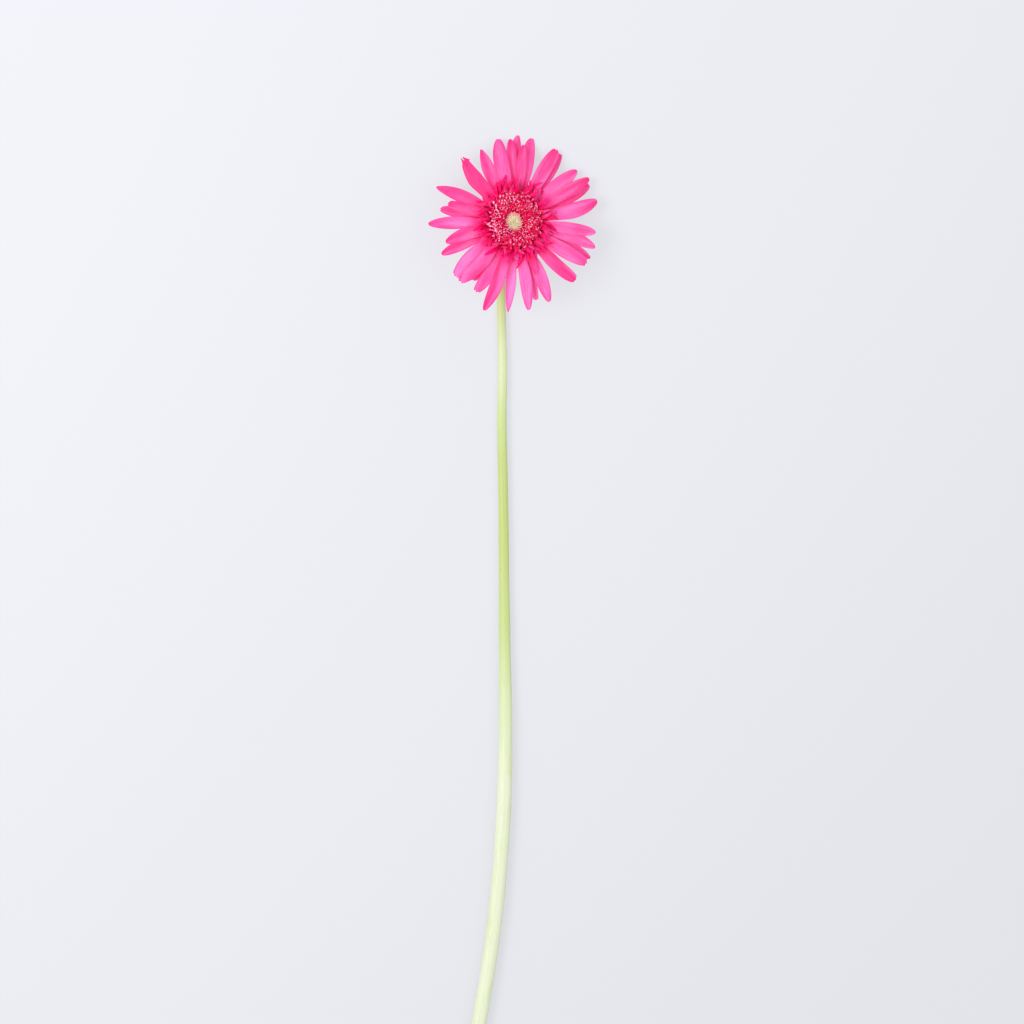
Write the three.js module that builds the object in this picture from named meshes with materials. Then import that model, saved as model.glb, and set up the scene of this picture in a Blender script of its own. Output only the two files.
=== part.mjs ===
// A cut mini gerbera lying on its back on a table: a long leafless stem, a neck that bends up behind
// the head, a cup of green bracts, one whorl of long pink ray florets, a collar of short inner ray
// florets, a ring of open disc florets and a middle of closed buds.
//
// Millimetres, +Z up. The table's top is Z = 0 and the origin lies under the middle of the flower's
// box. The stem runs along Y, with the head at its +Y end.
//
// The head is modelled about its own axis: its local origin is where the neck meets the receptacle,
// local +Z runs out through the middle of the disc, and azimuth 0 is near the table's +X.

import * as THREE from 'three';

// ---------------------------------------------------------------- driving dimensions, mm and degrees

const NECK_FOOT = new THREE.Vector2(-2.3, 193.5); // where the neck begins to rise from the table
const NECK_BEND_RADIUS = 13;
const HEAD_LEAN_X = 4; // the head's axis leans this far from upright towards +X
const HEAD_LEAN_Y = 22; // and this far towards +Y, away from the stem

// The stem's course along the table, from the cut end: sideways and lengthways from the neck's foot.
const STEM_COURSE = [
  [-19.8, -440], [-16.2, -420], [-11.4, -391], [-7.0, -360], [-3.6, -326], [-1.5, -294], [-0.5, -265],
  [-0.3, -235], [-0.6, -200], [-0.9, -160], [-1.1, -130], [-1.5, -105], [-1.8, -84], [-1.4, -55],
  [-2.0, -30], [-2.0, -14], [-1.0, -5],
];
// Its diameter at distances from the neck's foot.
const STEM_GIRTH = [
  [0, 4.3], [40, 4.5], [110, 5.0], [165, 5.4], [200, 6.1], [245, 7.2], [290, 7.9], [440, 8.2],
];
const STEM_SIDES = 10; // with a flat side down
const STEM_STEPS = 54;
const NECK_STEPS = 7;
const NECK_GAP = 0.4;

const TABLE_CLEARANCE = 0.05; // under the lowest florets, where they lie on the table
const TABLE_BEND_SOFTNESS = 0.6; // how gently a floret bends up onto it

// Ray florets follow one arch, out from the receptacle and down to the tips, in three layers.
const RAY_ARCH = [[8.4, 5.0], [8.8, 11.2], [22, 15.8], [46, 4.2]];
const RAY_LAYER_STEP = 1.3;
const RAY_THICKNESS = 0.6;
const RAY_CLAW_WIDTH = 1.2;
const RAY_CUP = 0.3;
const RAY_STATIONS = 10;

// One row for each ray floret, anticlockwise: where it heads at mid length, where its tip points
// (both azimuths), its reach from the head's axis, its width and its layer (0 lowest, 2 on top).
const RAY_FLORETS = [
  [50, 51, 43.5, 5.4, 0], [56, 55, 42.4, 6.8, 2], [73, 72.5, 43.5, 6.0, 1], [78, 77.5, 37.8, 5.2, 2],
  [82.5, 81.5, 45, 5.4, 0], [87, 86.5, 41, 5.4, 1], [98, 95, 40.5, 7.5, 2], [111.5, 108.5, 38, 6.4, 1],
  [130, 124, 38.5, 7.9, 2], [150.5, 151.5, 39.5, 6.3, 1], [163, 161.5, 32, 5.2, 2], [167, 166, 35.3, 5.2, 0],
  [178, 177.5, 39.9, 6.1, 1], [191.5, 193.8, 33.5, 6.1, 2], [200, 200.5, 37.4, 5.6, 0], [215.5, 219, 38, 6.6, 1],
  [227, 224.2, 38, 7, 2], [233.5, 230.5, 34, 5.6, 0], [241, 237.8, 37.5, 6.3, 1], [250.5, 247.5, 43, 6.3, 2],
  [263, 263, 41.8, 5.0, 1], [277, 276.5, 41, 6.0, 2], [283, 284, 38.2, 4.7, 0], [292.5, 292, 40.5, 6.6, 1],
  [312, 315.5, 40, 6.6, 1], [327.5, 329.5, 39.5, 7, 2], [336, 335, 41.3, 5.2, 0], [344.5, 342.5, 41.4, 6.1, 1],
  [351, 352, 39.8, 6.1, 2], [369, 373.4, 43.8, 7.5, 1], [383, 384.5, 44.2, 6.2, 0], [387, 387.8, 43.8, 6.1, 2],
  [397, 396.5, 41.9, 6.2, 1],
];
const RAY_FIRST_ROOT = 45; // azimuth of the first root, if the roots were evenly spaced
const RAY_ROOT_BIAS = 0.5; // how far each root moves from even spacing towards its own heading

// The receptacle, a shallow dish: radius and height.
const RECEPTACLE_PROFILE = [[0, 0], [2.5, 0], [4.6, 1.0], [7.0, 2.65], [8.9, 3.7], [10.2, 4.7], [0, 4.7]];
const RECEPTACLE_SIDES = 28;

const BRACTS_PER_ROW = 10;
const BRACT_ROWS = [
  { name: 'inner', arch: [[7.4, 2.0], [11.2, 3.4], [11.0, 6.6], [15.2, 8.2]], width: 4.4, turn: 0 },
  { name: 'outer', arch: [[5.0, 0.45], [11.0, 1.1], [12.6, 4.0], [15.0, 6.2]], width: 4.0, turn: 18 },
];
const BRACT_THICKNESS = 0.7;
const BRACT_STATIONS = 7;
const BRACT_CUP = -0.35;

// The collar of short inner ray florets lies on the long ones and shares their arch.
const COLLAR_LAYER = 2.9;
const COLLAR_THICKNESS = 1.0;
const COLLAR_LOBES = 40;
const COLLAR_REACH = 18.4;
const COLLAR_REACH_SPREAD = 0.9;
const COLLAR_NOTCH = 14;
const COLLAR_STATIONS = 5;

// Open disc florets as one ring, and the closed buds in the middle as one dome.
const DISC_RING_PROFILE = [
  [2.7, 5.0], [4.5, 5.0], [6.0, 9.0], [8.2, 12.2], [10.9, 14.6], [12.2, 16.0], [11.6, 17.2], [9.2, 17.5],
  [6.4, 16.8], [4.9, 15.2], [4.4, 13.2], [3.0, 9.0],
];
const DISC_BUD_PROFILE = [[0, 5.0], [2.2, 5.0], [2.5, 9.0], [3.9, 13.4], [4.1, 14.4], [3.2, 15.2], [0, 15.7]];
const DISC_SIDES = 32;

// ---------------------------------------------------------------- materials

const FINISHES = {
  stem: { color: 0xd7e39a, roughness: 0.6, metalness: 0 },
  receptacle: { color: 0xa9bf62, roughness: 0.7, metalness: 0 },
  bract: { color: 0x7f9a45, roughness: 0.75, metalness: 0 },
  ray: { color: 0xff4fa3, roughness: 0.55, metalness: 0 },
  collar: { color: 0xe8125f, roughness: 0.55, metalness: 0 },
  disc: { color: 0xc21f4c, roughness: 0.6, metalness: 0 },
  bud: { color: 0xe6d7a0, roughness: 0.6, metalness: 0 },
};

// ---------------------------------------------------------------- small geometry helpers

const lerp = THREE.MathUtils.lerp;
const smoothstep = THREE.MathUtils.smoothstep;
const radians = THREE.MathUtils.degToRad;

/** A cubic curve in the (radius, height) half plane of the head. */
function archCurve(points) {
  return new THREE.CubicBezierCurve(...points.map(([radius, height]) => new THREE.Vector2(radius, height)));
}

/** The curve's parameter where it reaches the given radius. */
function paramAtRadius(curve, radius) {
  let low = 0;
  let high = 1;
  for (let i = 0; i < 30; i += 1) {
    const middle = (low + high) / 2;
    if (curve.getPoint(middle).x < radius) low = middle;
    else high = middle;
  }
  return (low + high) / 2;
}

/** A point of the arch moved off it along its normal, towards the disc, with that normal. */
function archPoint(curve, t, offset) {
  const tangent = curve.getTangent(t);
  const normal = new THREE.Vector2(-tangent.y, tangent.x);
  return { point: curve.getPoint(t).addScaledVector(normal, offset), normal };
}

/** From radius, azimuth and height about the head's axis to x, y and z. */
function aroundAxis(radius, azimuth, height) {
  const angle = radians(azimuth);
  return new THREE.Vector3(radius * Math.cos(angle), radius * Math.sin(angle), height);
}

/** Skins a row of equal rings of points into one closed body; wrap joins the last ring to the first. */
function skin(rings, wrap = false) {
  const sides = rings[0].length;
  const positions = rings.flat().flatMap((point) => point.toArray());
  const index = [];
  const spans = wrap ? rings.length : rings.length - 1;
  for (let i = 0; i < spans; i += 1) {
    const here = i * sides;
    const next = ((i + 1) % rings.length) * sides;
    for (let j = 0; j < sides; j += 1) {
      const k = (j + 1) % sides;
      index.push(here + j, here + k, next + k, here + j, next + k, next + j);
    }
  }
  if (!wrap) {
    const last = (rings.length - 1) * sides;
    for (let j = 1; j < sides - 1; j += 1) {
      index.push(0, j + 1, j);
      index.push(last, last + j, last + j + 1);
    }
  }
  const geometry = new THREE.BufferGeometry();
  geometry.setAttribute('position', new THREE.Float32BufferAttribute(positions, 3));
  geometry.setIndex(index);
  geometry.computeVertexNormals();
  return geometry;
}

/** Turns a (radius, height) profile about the head's axis. */
function turned(profile, sides) {
  const points = profile.map(([radius, height]) => new THREE.Vector2(radius, height));
  return new THREE.LatheGeometry(points, sides).rotateX(Math.PI / 2);
}

function piece(name, geometry, finish) {
  const mesh = new THREE.Mesh(geometry, new THREE.MeshStandardMaterial(FINISHES[finish]));
  mesh.name = name;
  return mesh;
}

// ---------------------------------------------------------------- where the head stands

/** The head's axis, a unit vector in the flower's frame. */
function headAxis() {
  return new THREE.Vector3(Math.tan(radians(HEAD_LEAN_X)), Math.tan(radians(HEAD_LEAN_Y)), 1).normalize();
}

/** The neck's arc from the table up to the receptacle: a function of the angle turned through. */
function neckArc() {
  const along = new THREE.Vector3(0, 1, 0);
  const axis = headAxis();
  const turn = Math.acos(axis.dot(along));
  const up = axis.clone().addScaledVector(along, -axis.dot(along)).normalize();
  const foot = new THREE.Vector3(NECK_FOOT.x, NECK_FOOT.y, lyingHeight(girthAt(0) / 2));
  const at = (angle) => foot.clone()
    .addScaledVector(along, NECK_BEND_RADIUS * Math.sin(angle))
    .addScaledVector(up, NECK_BEND_RADIUS * (1 - Math.cos(angle)));
  return { at, turn };
}

/** The frame of the head: its origin at the neck's end, its Z along the axis. */
function headMatrix() {
  const { at, turn } = neckArc();
  const axis = headAxis();
  const side = new THREE.Vector3(0, 1, 0).cross(axis).normalize();
  const across = axis.clone().cross(side);
  return new THREE.Matrix4().makeBasis(side, across, axis).setPosition(at(turn));
}

/** Lifts a point of the head that would be under the table straight up onto it, with a soft bend. */
function restOnTable(point, head, clearance) {
  const world = point.clone().applyMatrix4(head);
  const height = (world.z - clearance) / TABLE_BEND_SOFTNESS;
  world.z = clearance + TABLE_BEND_SOFTNESS * Math.max(height, Math.log1p(Math.exp(Math.min(height, 20))));
  return world.applyMatrix4(head.clone().invert());
}

// ---------------------------------------------------------------- the stem

/** How high the stem's middle lies over the table, a flat side down, for a radius. */
function lyingHeight(radius) {
  return radius * Math.cos(Math.PI / STEM_SIDES);
}

/** The stem's diameter at a distance from the neck's foot. */
function girthAt(distance) {
  const last = STEM_GIRTH[STEM_GIRTH.length - 1];
  for (let i = 1; i < STEM_GIRTH.length; i += 1) {
    const [from, fromGirth] = STEM_GIRTH[i - 1];
    const [to, toGirth] = STEM_GIRTH[i];
    if (distance <= to) return lerp(fromGirth, toGirth, smoothstep(distance, from, to));
  }
  return last[1];
}

/** The stem and neck as one tapering tube that lies on the table and rises to the head. */
function stem() {
  const { at, turn } = neckArc();
  const gapAngle = NECK_GAP / NECK_BEND_RADIUS;
  const points = STEM_COURSE.map(([x, y]) => (
    new THREE.Vector3(NECK_FOOT.x + x, NECK_FOOT.y + y, lyingHeight(girthAt(-y) / 2))
  ));
  for (let i = 0; i <= NECK_STEPS; i += 1) {
    points.push(at((turn - gapAngle) * (i / NECK_STEPS)));
  }
  const course = new THREE.CatmullRomCurve3(points, false, 'centripetal');
  const rings = [];
  for (let i = 0; i <= STEM_STEPS; i += 1) {
    // steps shorten towards the neck, where the stem bends
    const t = 1 - (1 - i / STEM_STEPS) ** 1.5;
    const centre = course.getPointAt(t);
    const tangent = course.getTangentAt(t);
    const side = tangent.clone().cross(new THREE.Vector3(-1, 0, 0)).normalize();
    const across = side.clone().cross(tangent);
    const radius = girthAt(Math.max(NECK_FOOT.y - centre.y, 0)) / 2;
    if (centre.y < NECK_FOOT.y) centre.z = lyingHeight(radius);
    const ring = [];
    for (let j = 0; j < STEM_SIDES; j += 1) {
      const angle = (2 * Math.PI * j) / STEM_SIDES;
      ring.push(centre.clone()
        .addScaledVector(across, radius * Math.cos(angle))
        .addScaledVector(side, radius * Math.sin(angle)));
    }
    rings.push(ring);
  }
  return piece('stem', skin(rings), 'stem');
}

// ---------------------------------------------------------------- blades: ray florets and bracts

/** A thin closed blade with a lens section: its middle surface comes from centreAt and its width. */
function blade(stations, thickness, cup, centreAt, widthAt) {
  const rings = [];
  for (let i = 0; i < stations; i += 1) {
    const s = i / (stations - 1);
    const { point, normal, azimuth } = centreAt(s);
    const radial = aroundAxis(1, azimuth, 0);
    const across = aroundAxis(1, azimuth + 90, 0);
    const outward = radial.multiplyScalar(normal.x).setZ(normal.y);
    const centre = aroundAxis(point.x, azimuth, point.y);
    const half = widthAt(s) / 2;
    const place = (v, lift) => centre.clone()
      .addScaledVector(across, v * half)
      .addScaledVector(outward, cup * v * v + lift * thickness / 2);
    rings.push([place(-1, 0), place(-0.5, -1), place(0.5, -1), place(1, 0), place(0.5, 1), place(-0.5, 1)]);
  }
  return rings;
}

/** One long ray floret, from its root on the receptacle to its tip. */
function rayFloret(order, head) {
  const [heading, tip, reach, width, layer] = RAY_FLORETS[order];
  const arch = archCurve(RAY_ARCH);
  const end = paramAtRadius(arch, reach);
  const root = lerp(RAY_FIRST_ROOT + (360 * order) / RAY_FLORETS.length, heading, RAY_ROOT_BIAS);
  const tipShare = 0.985; // the blade ends just short of a point
  const centreAt = (station) => {
    const s = station * tipShare;
    const { point, normal } = archPoint(arch, s * end, (layer - 1) * RAY_LAYER_STEP);
    const azimuth = root + (heading - root) * smoothstep(s, 0, 0.5) + (tip - heading) * smoothstep(s, 0.5, 1.1);
    return { point, normal, azimuth };
  };
  const widthAt = (station) => {
    const run = (arch.getPoint(station * tipShare * end).x - RAY_ARCH[0][0]) / (reach - RAY_ARCH[0][0]);
    const spread = width * Math.sin(Math.PI * run ** 1.35) ** 0.8;
    return Math.max(spread, RAY_CLAW_WIDTH * (1 - run));
  };
  const rings = blade(RAY_STATIONS, RAY_THICKNESS, RAY_CUP, centreAt, widthAt);
  const resting = rings.map((ring) => ring.map((point, corner) => {
    const onTop = corner > 3;
    return restOnTable(point, head, TABLE_CLEARANCE + (onTop ? RAY_THICKNESS : 0));
  }));
  return piece(`ray_floret_${String(order + 1).padStart(2, '0')}`, skin(resting), 'ray');
}

/** One bract of the green cup under the head. */
function bract(row, order) {
  const arch = archCurve(row.arch);
  const azimuth = row.turn + (360 * order) / BRACTS_PER_ROW;
  const centreAt = (s) => ({ ...archPoint(arch, s, 0), azimuth });
  const widthAt = (s) => row.width * (0.55 + 1.5 * s) * (1 - s ** 1.4) + 0.3;
  const rings = blade(BRACT_STATIONS, BRACT_THICKNESS, BRACT_CUP, centreAt, widthAt);
  return piece(`bract_${row.name}_${String(order + 1).padStart(2, '0')}`, skin(rings), 'bract');
}

// ---------------------------------------------------------------- the middle of the head

function receptacle() {
  return piece('receptacle', turned(RECEPTACLE_PROFILE, RECEPTACLE_SIDES), 'receptacle');
}

/** The collar of short inner ray florets as one body with a lobe for each. */
function innerRayCollar() {
  const arch = archCurve(RAY_ARCH);
  const rings = [];
  for (let i = 0; i < COLLAR_LOBES * 2; i += 1) {
    const azimuth = (180 * i) / COLLAR_LOBES;
    const lobeReach = COLLAR_REACH + COLLAR_REACH_SPREAD * Math.sin(radians(azimuth * 7));
    const end = paramAtRadius(arch, i % 2 === 0 ? lobeReach : COLLAR_NOTCH);
    const under = [];
    const over = [];
    for (let j = 0; j < COLLAR_STATIONS; j += 1) {
      const t = (end * j) / (COLLAR_STATIONS - 1);
      const low = archPoint(arch, t, COLLAR_LAYER - COLLAR_THICKNESS / 2).point;
      const high = archPoint(arch, t, COLLAR_LAYER + COLLAR_THICKNESS / 2).point;
      over.push(aroundAxis(high.x, azimuth, high.y));
      under.unshift(aroundAxis(low.x, azimuth, low.y));
    }
    rings.push([...over, ...under]);
  }
  return piece('inner_ray_collar', skin(rings, true), 'collar');
}

function discFloretRing() {
  const closed = [...DISC_RING_PROFILE, DISC_RING_PROFILE[0]];
  return piece('disc_floret_ring', turned(closed, DISC_SIDES), 'disc');
}

function discBuds() {
  return piece('disc_buds', turned(DISC_BUD_PROFILE, DISC_SIDES), 'bud');
}

// ---------------------------------------------------------------- the flower

function flowerHead() {
  const matrix = headMatrix();
  const group = new THREE.Group();
  matrix.decompose(group.position, group.quaternion, group.scale);
  group.add(receptacle(), innerRayCollar(), discFloretRing(), discBuds());
  for (const row of BRACT_ROWS) {
    for (let i = 0; i < BRACTS_PER_ROW; i += 1) group.add(bract(row, i));
  }
  for (let i = 0; i < RAY_FLORETS.length; i += 1) group.add(rayFloret(i, matrix));
  return group;
}

const gerbera = new THREE.Group();
gerbera.add(stem(), flowerHead());

export default gerbera;
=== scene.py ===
"""A cut gerbera lying on its back on a pale table.

Sizes are in millimetres and degrees, and meshes are written in metres. The head is modelled about its
own axis: its local origin is where the neck meets the receptacle, its local Z runs out through the
middle of the disc, and azimuths turn anticlockwise from near the table's X.
"""

from __future__ import annotations

import logging
import math
import random
from dataclasses import dataclass, field
from enum import Enum
from typing import Iterable, Sequence

import bmesh
import bpy
import numpy as np
from mathutils import Matrix, Vector

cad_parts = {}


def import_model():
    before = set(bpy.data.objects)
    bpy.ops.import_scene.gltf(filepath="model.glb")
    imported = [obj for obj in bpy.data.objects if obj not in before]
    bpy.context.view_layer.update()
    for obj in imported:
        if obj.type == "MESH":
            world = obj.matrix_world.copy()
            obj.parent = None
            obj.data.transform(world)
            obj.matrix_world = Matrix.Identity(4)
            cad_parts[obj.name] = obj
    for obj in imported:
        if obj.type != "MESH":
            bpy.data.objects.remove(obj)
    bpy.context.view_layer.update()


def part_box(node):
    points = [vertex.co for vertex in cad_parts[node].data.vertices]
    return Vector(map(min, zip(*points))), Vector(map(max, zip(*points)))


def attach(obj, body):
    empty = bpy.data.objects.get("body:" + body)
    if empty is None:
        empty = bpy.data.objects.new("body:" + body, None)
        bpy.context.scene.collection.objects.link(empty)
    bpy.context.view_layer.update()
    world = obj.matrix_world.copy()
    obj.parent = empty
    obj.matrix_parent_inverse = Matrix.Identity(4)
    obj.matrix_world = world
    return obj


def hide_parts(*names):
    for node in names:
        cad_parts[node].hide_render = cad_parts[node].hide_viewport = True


LOG = logging.getLogger("gerbera")
MM = 0.001
BODY = "root"
FULL_TURN, HALF_TURN, QUARTER_TURN = 360.0, 180.0, 90.0
GOLDEN_ANGLE = 137.508
NEARLY_UP = (0.02, 0.03, 1.0)  # no tube runs along it

Colour = tuple[float, float, float, float]
Stops = Sequence[tuple[float, Colour]]
Play = tuple[float, float]  # the least and the most of something drawn by chance
Outline = tuple[tuple[float, float], ...]


# ------------------------------------------------ small maths


def smooth(value: np.ndarray | float, low: float, high: float) -> np.ndarray | float:
    """An eased step from 0 at low to 1 at high."""
    share = np.clip((np.asarray(value, float) - low) / (high - low), 0.0, 1.0)
    return share * share * (3.0 - 2.0 * share)


def unit(vector: np.ndarray) -> np.ndarray:
    """The vector, or each row of vectors, at length 1."""
    return vector / np.maximum(np.linalg.norm(vector, axis=-1, keepdims=True), 1e-12)


def around_axis(radius: np.ndarray, azimuth: np.ndarray, height: np.ndarray) -> np.ndarray:
    """Points from their radius, azimuth in degrees and height about the head's axis."""
    angle = np.radians(azimuth)
    return np.stack([radius * np.cos(angle), radius * np.sin(angle), height + 0.0 * angle], axis=-1)


def ring_angles(sides: int) -> np.ndarray:
    """Even angles round a ring."""
    return np.linspace(0.0, math.tau, sides, endpoint=False)


def oval_spot(radius: float, azimuth: float, oval: float) -> tuple[float, float]:
    """A spot's radius and azimuth after a stretch away from the head's local X.

    Args:
        radius: its radius.
        azimuth: its azimuth.
        oval: the stretch.

    Returns:
        The new radius and azimuth.
    """
    turn = math.radians(azimuth)
    beside, ahead = radius * math.cos(turn), radius * math.sin(turn) * oval
    return math.hypot(beside, ahead), math.degrees(math.atan2(ahead, beside))


def bent_onto(height: np.ndarray, floor: float, softness: float) -> np.ndarray:
    """Heights lifted smoothly so that none is under the floor."""
    over = (height - floor) / softness
    return floor + softness * np.maximum(over, np.log1p(np.exp(np.minimum(over, 20.0))))


# ------------------------------------------------ shader maths


@dataclass(frozen=True)
class Value:
    """A node's output that takes part in arithmetic, each operator adding one Math node."""

    graph: "Graph"
    socket: bpy.types.NodeSocket

    def _math(self, operation: str, *operands: "Value | float") -> "Value":
        """Adds a Math node over the operands."""
        return self.graph.node("ShaderNodeMath", {"operation": operation}, dict(enumerate(operands)))

    def __add__(self, other: "Value | float") -> "Value":
        """self + other."""
        return self._math("ADD", self, other)

    __radd__ = __add__

    def __mul__(self, other: "Value | float") -> "Value":
        """self * other."""
        return self._math("MULTIPLY", self, other)

    __rmul__ = __mul__

    def __sub__(self, other: "Value | float") -> "Value":
        """self - other."""
        return self._math("SUBTRACT", self, other)

    def __rsub__(self, other: "Value | float") -> "Value":
        """other - self."""
        return self._math("SUBTRACT", other, self)

    def __abs__(self) -> "Value":
        """The size of self."""
        return self._math("ABSOLUTE", self)

    def cosine(self) -> "Value":
        """The cosine of self, in radians."""
        return self._math("COSINE", self)

    def between(self, low: float, high: float) -> "Value":
        """An eased step from 0 at low to 1 at high."""
        settings = {"interpolation_type": "SMOOTHSTEP"}
        return self.graph.node("ShaderNodeMapRange", settings, {"Value": self, 1: low, 2: high})


class Graph:
    """A material's node tree, with one method that adds any node."""

    def __init__(self, name: str) -> None:
        """Starts a material of that name with a Principled shader.

        Args:
            name: the material's name.
        """
        self.material = bpy.data.materials.new(name)
        self.material.use_nodes = True
        self.tree = self.material.node_tree
        self.shader = self.tree.nodes["Principled BSDF"]

    def feed(self, socket: bpy.types.NodeSocket, source: "Value | object") -> None:
        """Links or sets one input.

        Args:
            socket: the input.
            source: a Value to link from, or the constant to set.
        """
        if isinstance(source, Value):
            self.tree.links.new(source.socket, socket)
        else:
            socket.default_value = source

    def node(self, kind: str, settings: dict, inputs: dict, output: int | str = 0) -> Value:
        """Adds a node.

        Args:
            kind: the node's type.
            settings: its attributes, set first; "stops" fills a colour ramp with (place, colour).
            inputs: socket name or number to a Value or a constant.
            output: the output that is wanted.

        Returns:
            That output.
        """
        made = self.tree.nodes.new(kind)
        for key, setting in settings.items():
            if key == "stops":
                self._fill_ramp(made.color_ramp, setting)
            else:
                setattr(made, key, setting)
        for key, source in inputs.items():
            self.feed(made.inputs[key], source)
        return Value(self, made.outputs[output])

    @staticmethod
    def _fill_ramp(ramp: bpy.types.ColorRamp, stops: Stops) -> None:
        """Gives a colour ramp its stops.

        Args:
            ramp: the ramp.
            stops: its stops, as (place, colour).
        """
        while len(ramp.elements) < len(stops):
            ramp.elements.new(0.5)
        for element, (place, colour) in zip(ramp.elements, stops):
            element.position = place
            element.color = colour

    def attributes(self, *names: str) -> list[Value]:
        """The numbers that the mesh stores at its points under these names."""
        return [self.node("ShaderNodeAttribute", {"attribute_name": name}, {}, "Fac") for name in names]

    def ramp(self, place: Value, stops: Stops) -> Value:
        """A colour that changes with place."""
        return self.node("ShaderNodeValToRGB", {"stops": stops}, {"Fac": place}, "Color")

    def mix(self, share: "Value | float", first: "Value | Colour", second: "Value | Colour") -> Value:
        """The first colour with the second laid over it by a share."""
        settings = {"data_type": "RGBA", "clamp_factor": True}
        return self.node("ShaderNodeMix", settings, {0: share, 6: first, 7: second}, 2)

    def layered(self, colour: "Value | Colour", *coats: "tuple[Value, Colour]") -> Value:
        """A colour with coats laid over it one by one.

        Args:
            colour: the colour underneath.
            coats: each coat's share and colour.

        Returns:
            The colour on top.
        """
        for share, coat in coats:
            colour = self.mix(share, colour, coat)
        return colour

    def vector(self, x: "Value | float", y: "Value | float", z: "Value | float") -> Value:
        """A vector from three numbers."""
        return self.node("ShaderNodeCombineXYZ", {}, {0: x, 1: y, 2: z})

    def noise(self, place: Value, scale: float, detail: float = 3.0, roughness: float = 0.5) -> Value:
        """Cloudy noise from 0 to 1."""
        inputs = {"Vector": place, "Scale": scale, "Detail": detail, "Roughness": roughness}
        return self.node("ShaderNodeTexNoise", {}, inputs)

    def millimetres(self) -> Value:
        """The point's place in the flower's frame, in millimetres."""
        place = self.node("ShaderNodeTexCoord", {}, {}, "Object")
        settings = {"operation": "SCALE"}
        return self.node("ShaderNodeVectorMath", settings, {0: place, "Scale": 1.0 / MM})

    def bump(self, height: Value, depth: float, strength: float) -> None:
        """Feeds the shader's Normal from a height, whose 1 stands for a depth in millimetres."""
        inputs = {"Height": height, "Distance": depth * MM, "Strength": strength}
        self.feed(self.shader.inputs["Normal"], self.node("ShaderNodeBump", {}, inputs))

    def shade(self, colour: "Value | Colour", roughness: "Value | float", constants: dict) -> None:
        """Feeds the shader's inputs.

        Args:
            colour: the base colour.
            roughness: the roughness.
            constants: the numbers for other inputs, by name.
        """
        for key, source in {"Base Color": colour, "Roughness": roughness, **constants}.items():
            self.feed(self.shader.inputs[key], source)


@dataclass(frozen=True)
class Band:
    """An eased mask between two values, and how strongly it shows."""

    low: float
    high: float
    share: float = 1.0

    def over(self, value: Value) -> Value:
        """The mask over a value."""
        return value.between(self.low, self.high) * self.share


@dataclass(frozen=True)
class Grain:
    """Noise drawn out along a piece: how often it repeats each way, its seed and its make-up."""

    across: float
    along: float
    seed: float
    detail: float = 3.0
    roughness: float = 0.6

    def over(self, across: Value, along: Value, seed: "Value | float" = 1.0) -> Value:
        """The noise over a piece's two directions."""
        place = across.graph.vector(across * self.across, along * self.along, seed * self.seed)
        return across.graph.noise(place, 1.0, self.detail, self.roughness)


@dataclass(frozen=True)
class Tissue:
    """How light goes into a piece: how much, how far in millimetres, and each colour's share of that."""

    weight: float = 0.0
    reach: float = 1.0
    shares: tuple[float, float, float] = (1.0, 1.0, 1.0)

    def sockets(self) -> dict[str, object]:
        """The shader's constants for it."""
        return {"Subsurface Weight": self.weight, "Subsurface Scale": self.reach * MM,
                "Subsurface Radius": self.shares}


# ------------------------------------------------ finishes


@dataclass(frozen=True)
class Finish:
    """What every finish has: its gloss, its relief and the light in its tissue."""

    name: str
    roughness: float = 0.5
    unevenness: float = 0.0
    specular: float = 0.5
    sheen: tuple[float, float] = (0.0, 0.5)  # weight, roughness
    relief: tuple[float, float] = (0.2, 0.5)  # depth in millimetres, strength
    tissue: Tissue = Tissue()

    def paint(self, graph: Graph) -> None:
        """Adds the finish's own nodes."""
        raise NotImplementedError

    def build(self) -> bpy.types.Material:
        """Makes the material.

        Returns:
            The material.
        """
        graph = Graph(self.name)
        self.paint(graph)
        return graph.material

    def close(self, graph: Graph, colour: Value, height: Value, uneven: Value | None = None) -> None:
        """Feeds the shader.

        Args:
            graph: the material.
            colour: its colour.
            height: its relief, from 0 to 1.
            uneven: what its roughness follows, if not the relief.
        """
        roughness = self.roughness
        if self.unevenness:
            roughness = roughness + (uneven or height) * self.unevenness
        weight, sheen_roughness = self.sheen
        graph.shade(colour, roughness, {
            "Specular IOR Level": self.specular, "Sheen Weight": weight,
            "Sheen Roughness": sheen_roughness, **self.tissue.sockets()})
        graph.bump(height, *self.relief)


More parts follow.
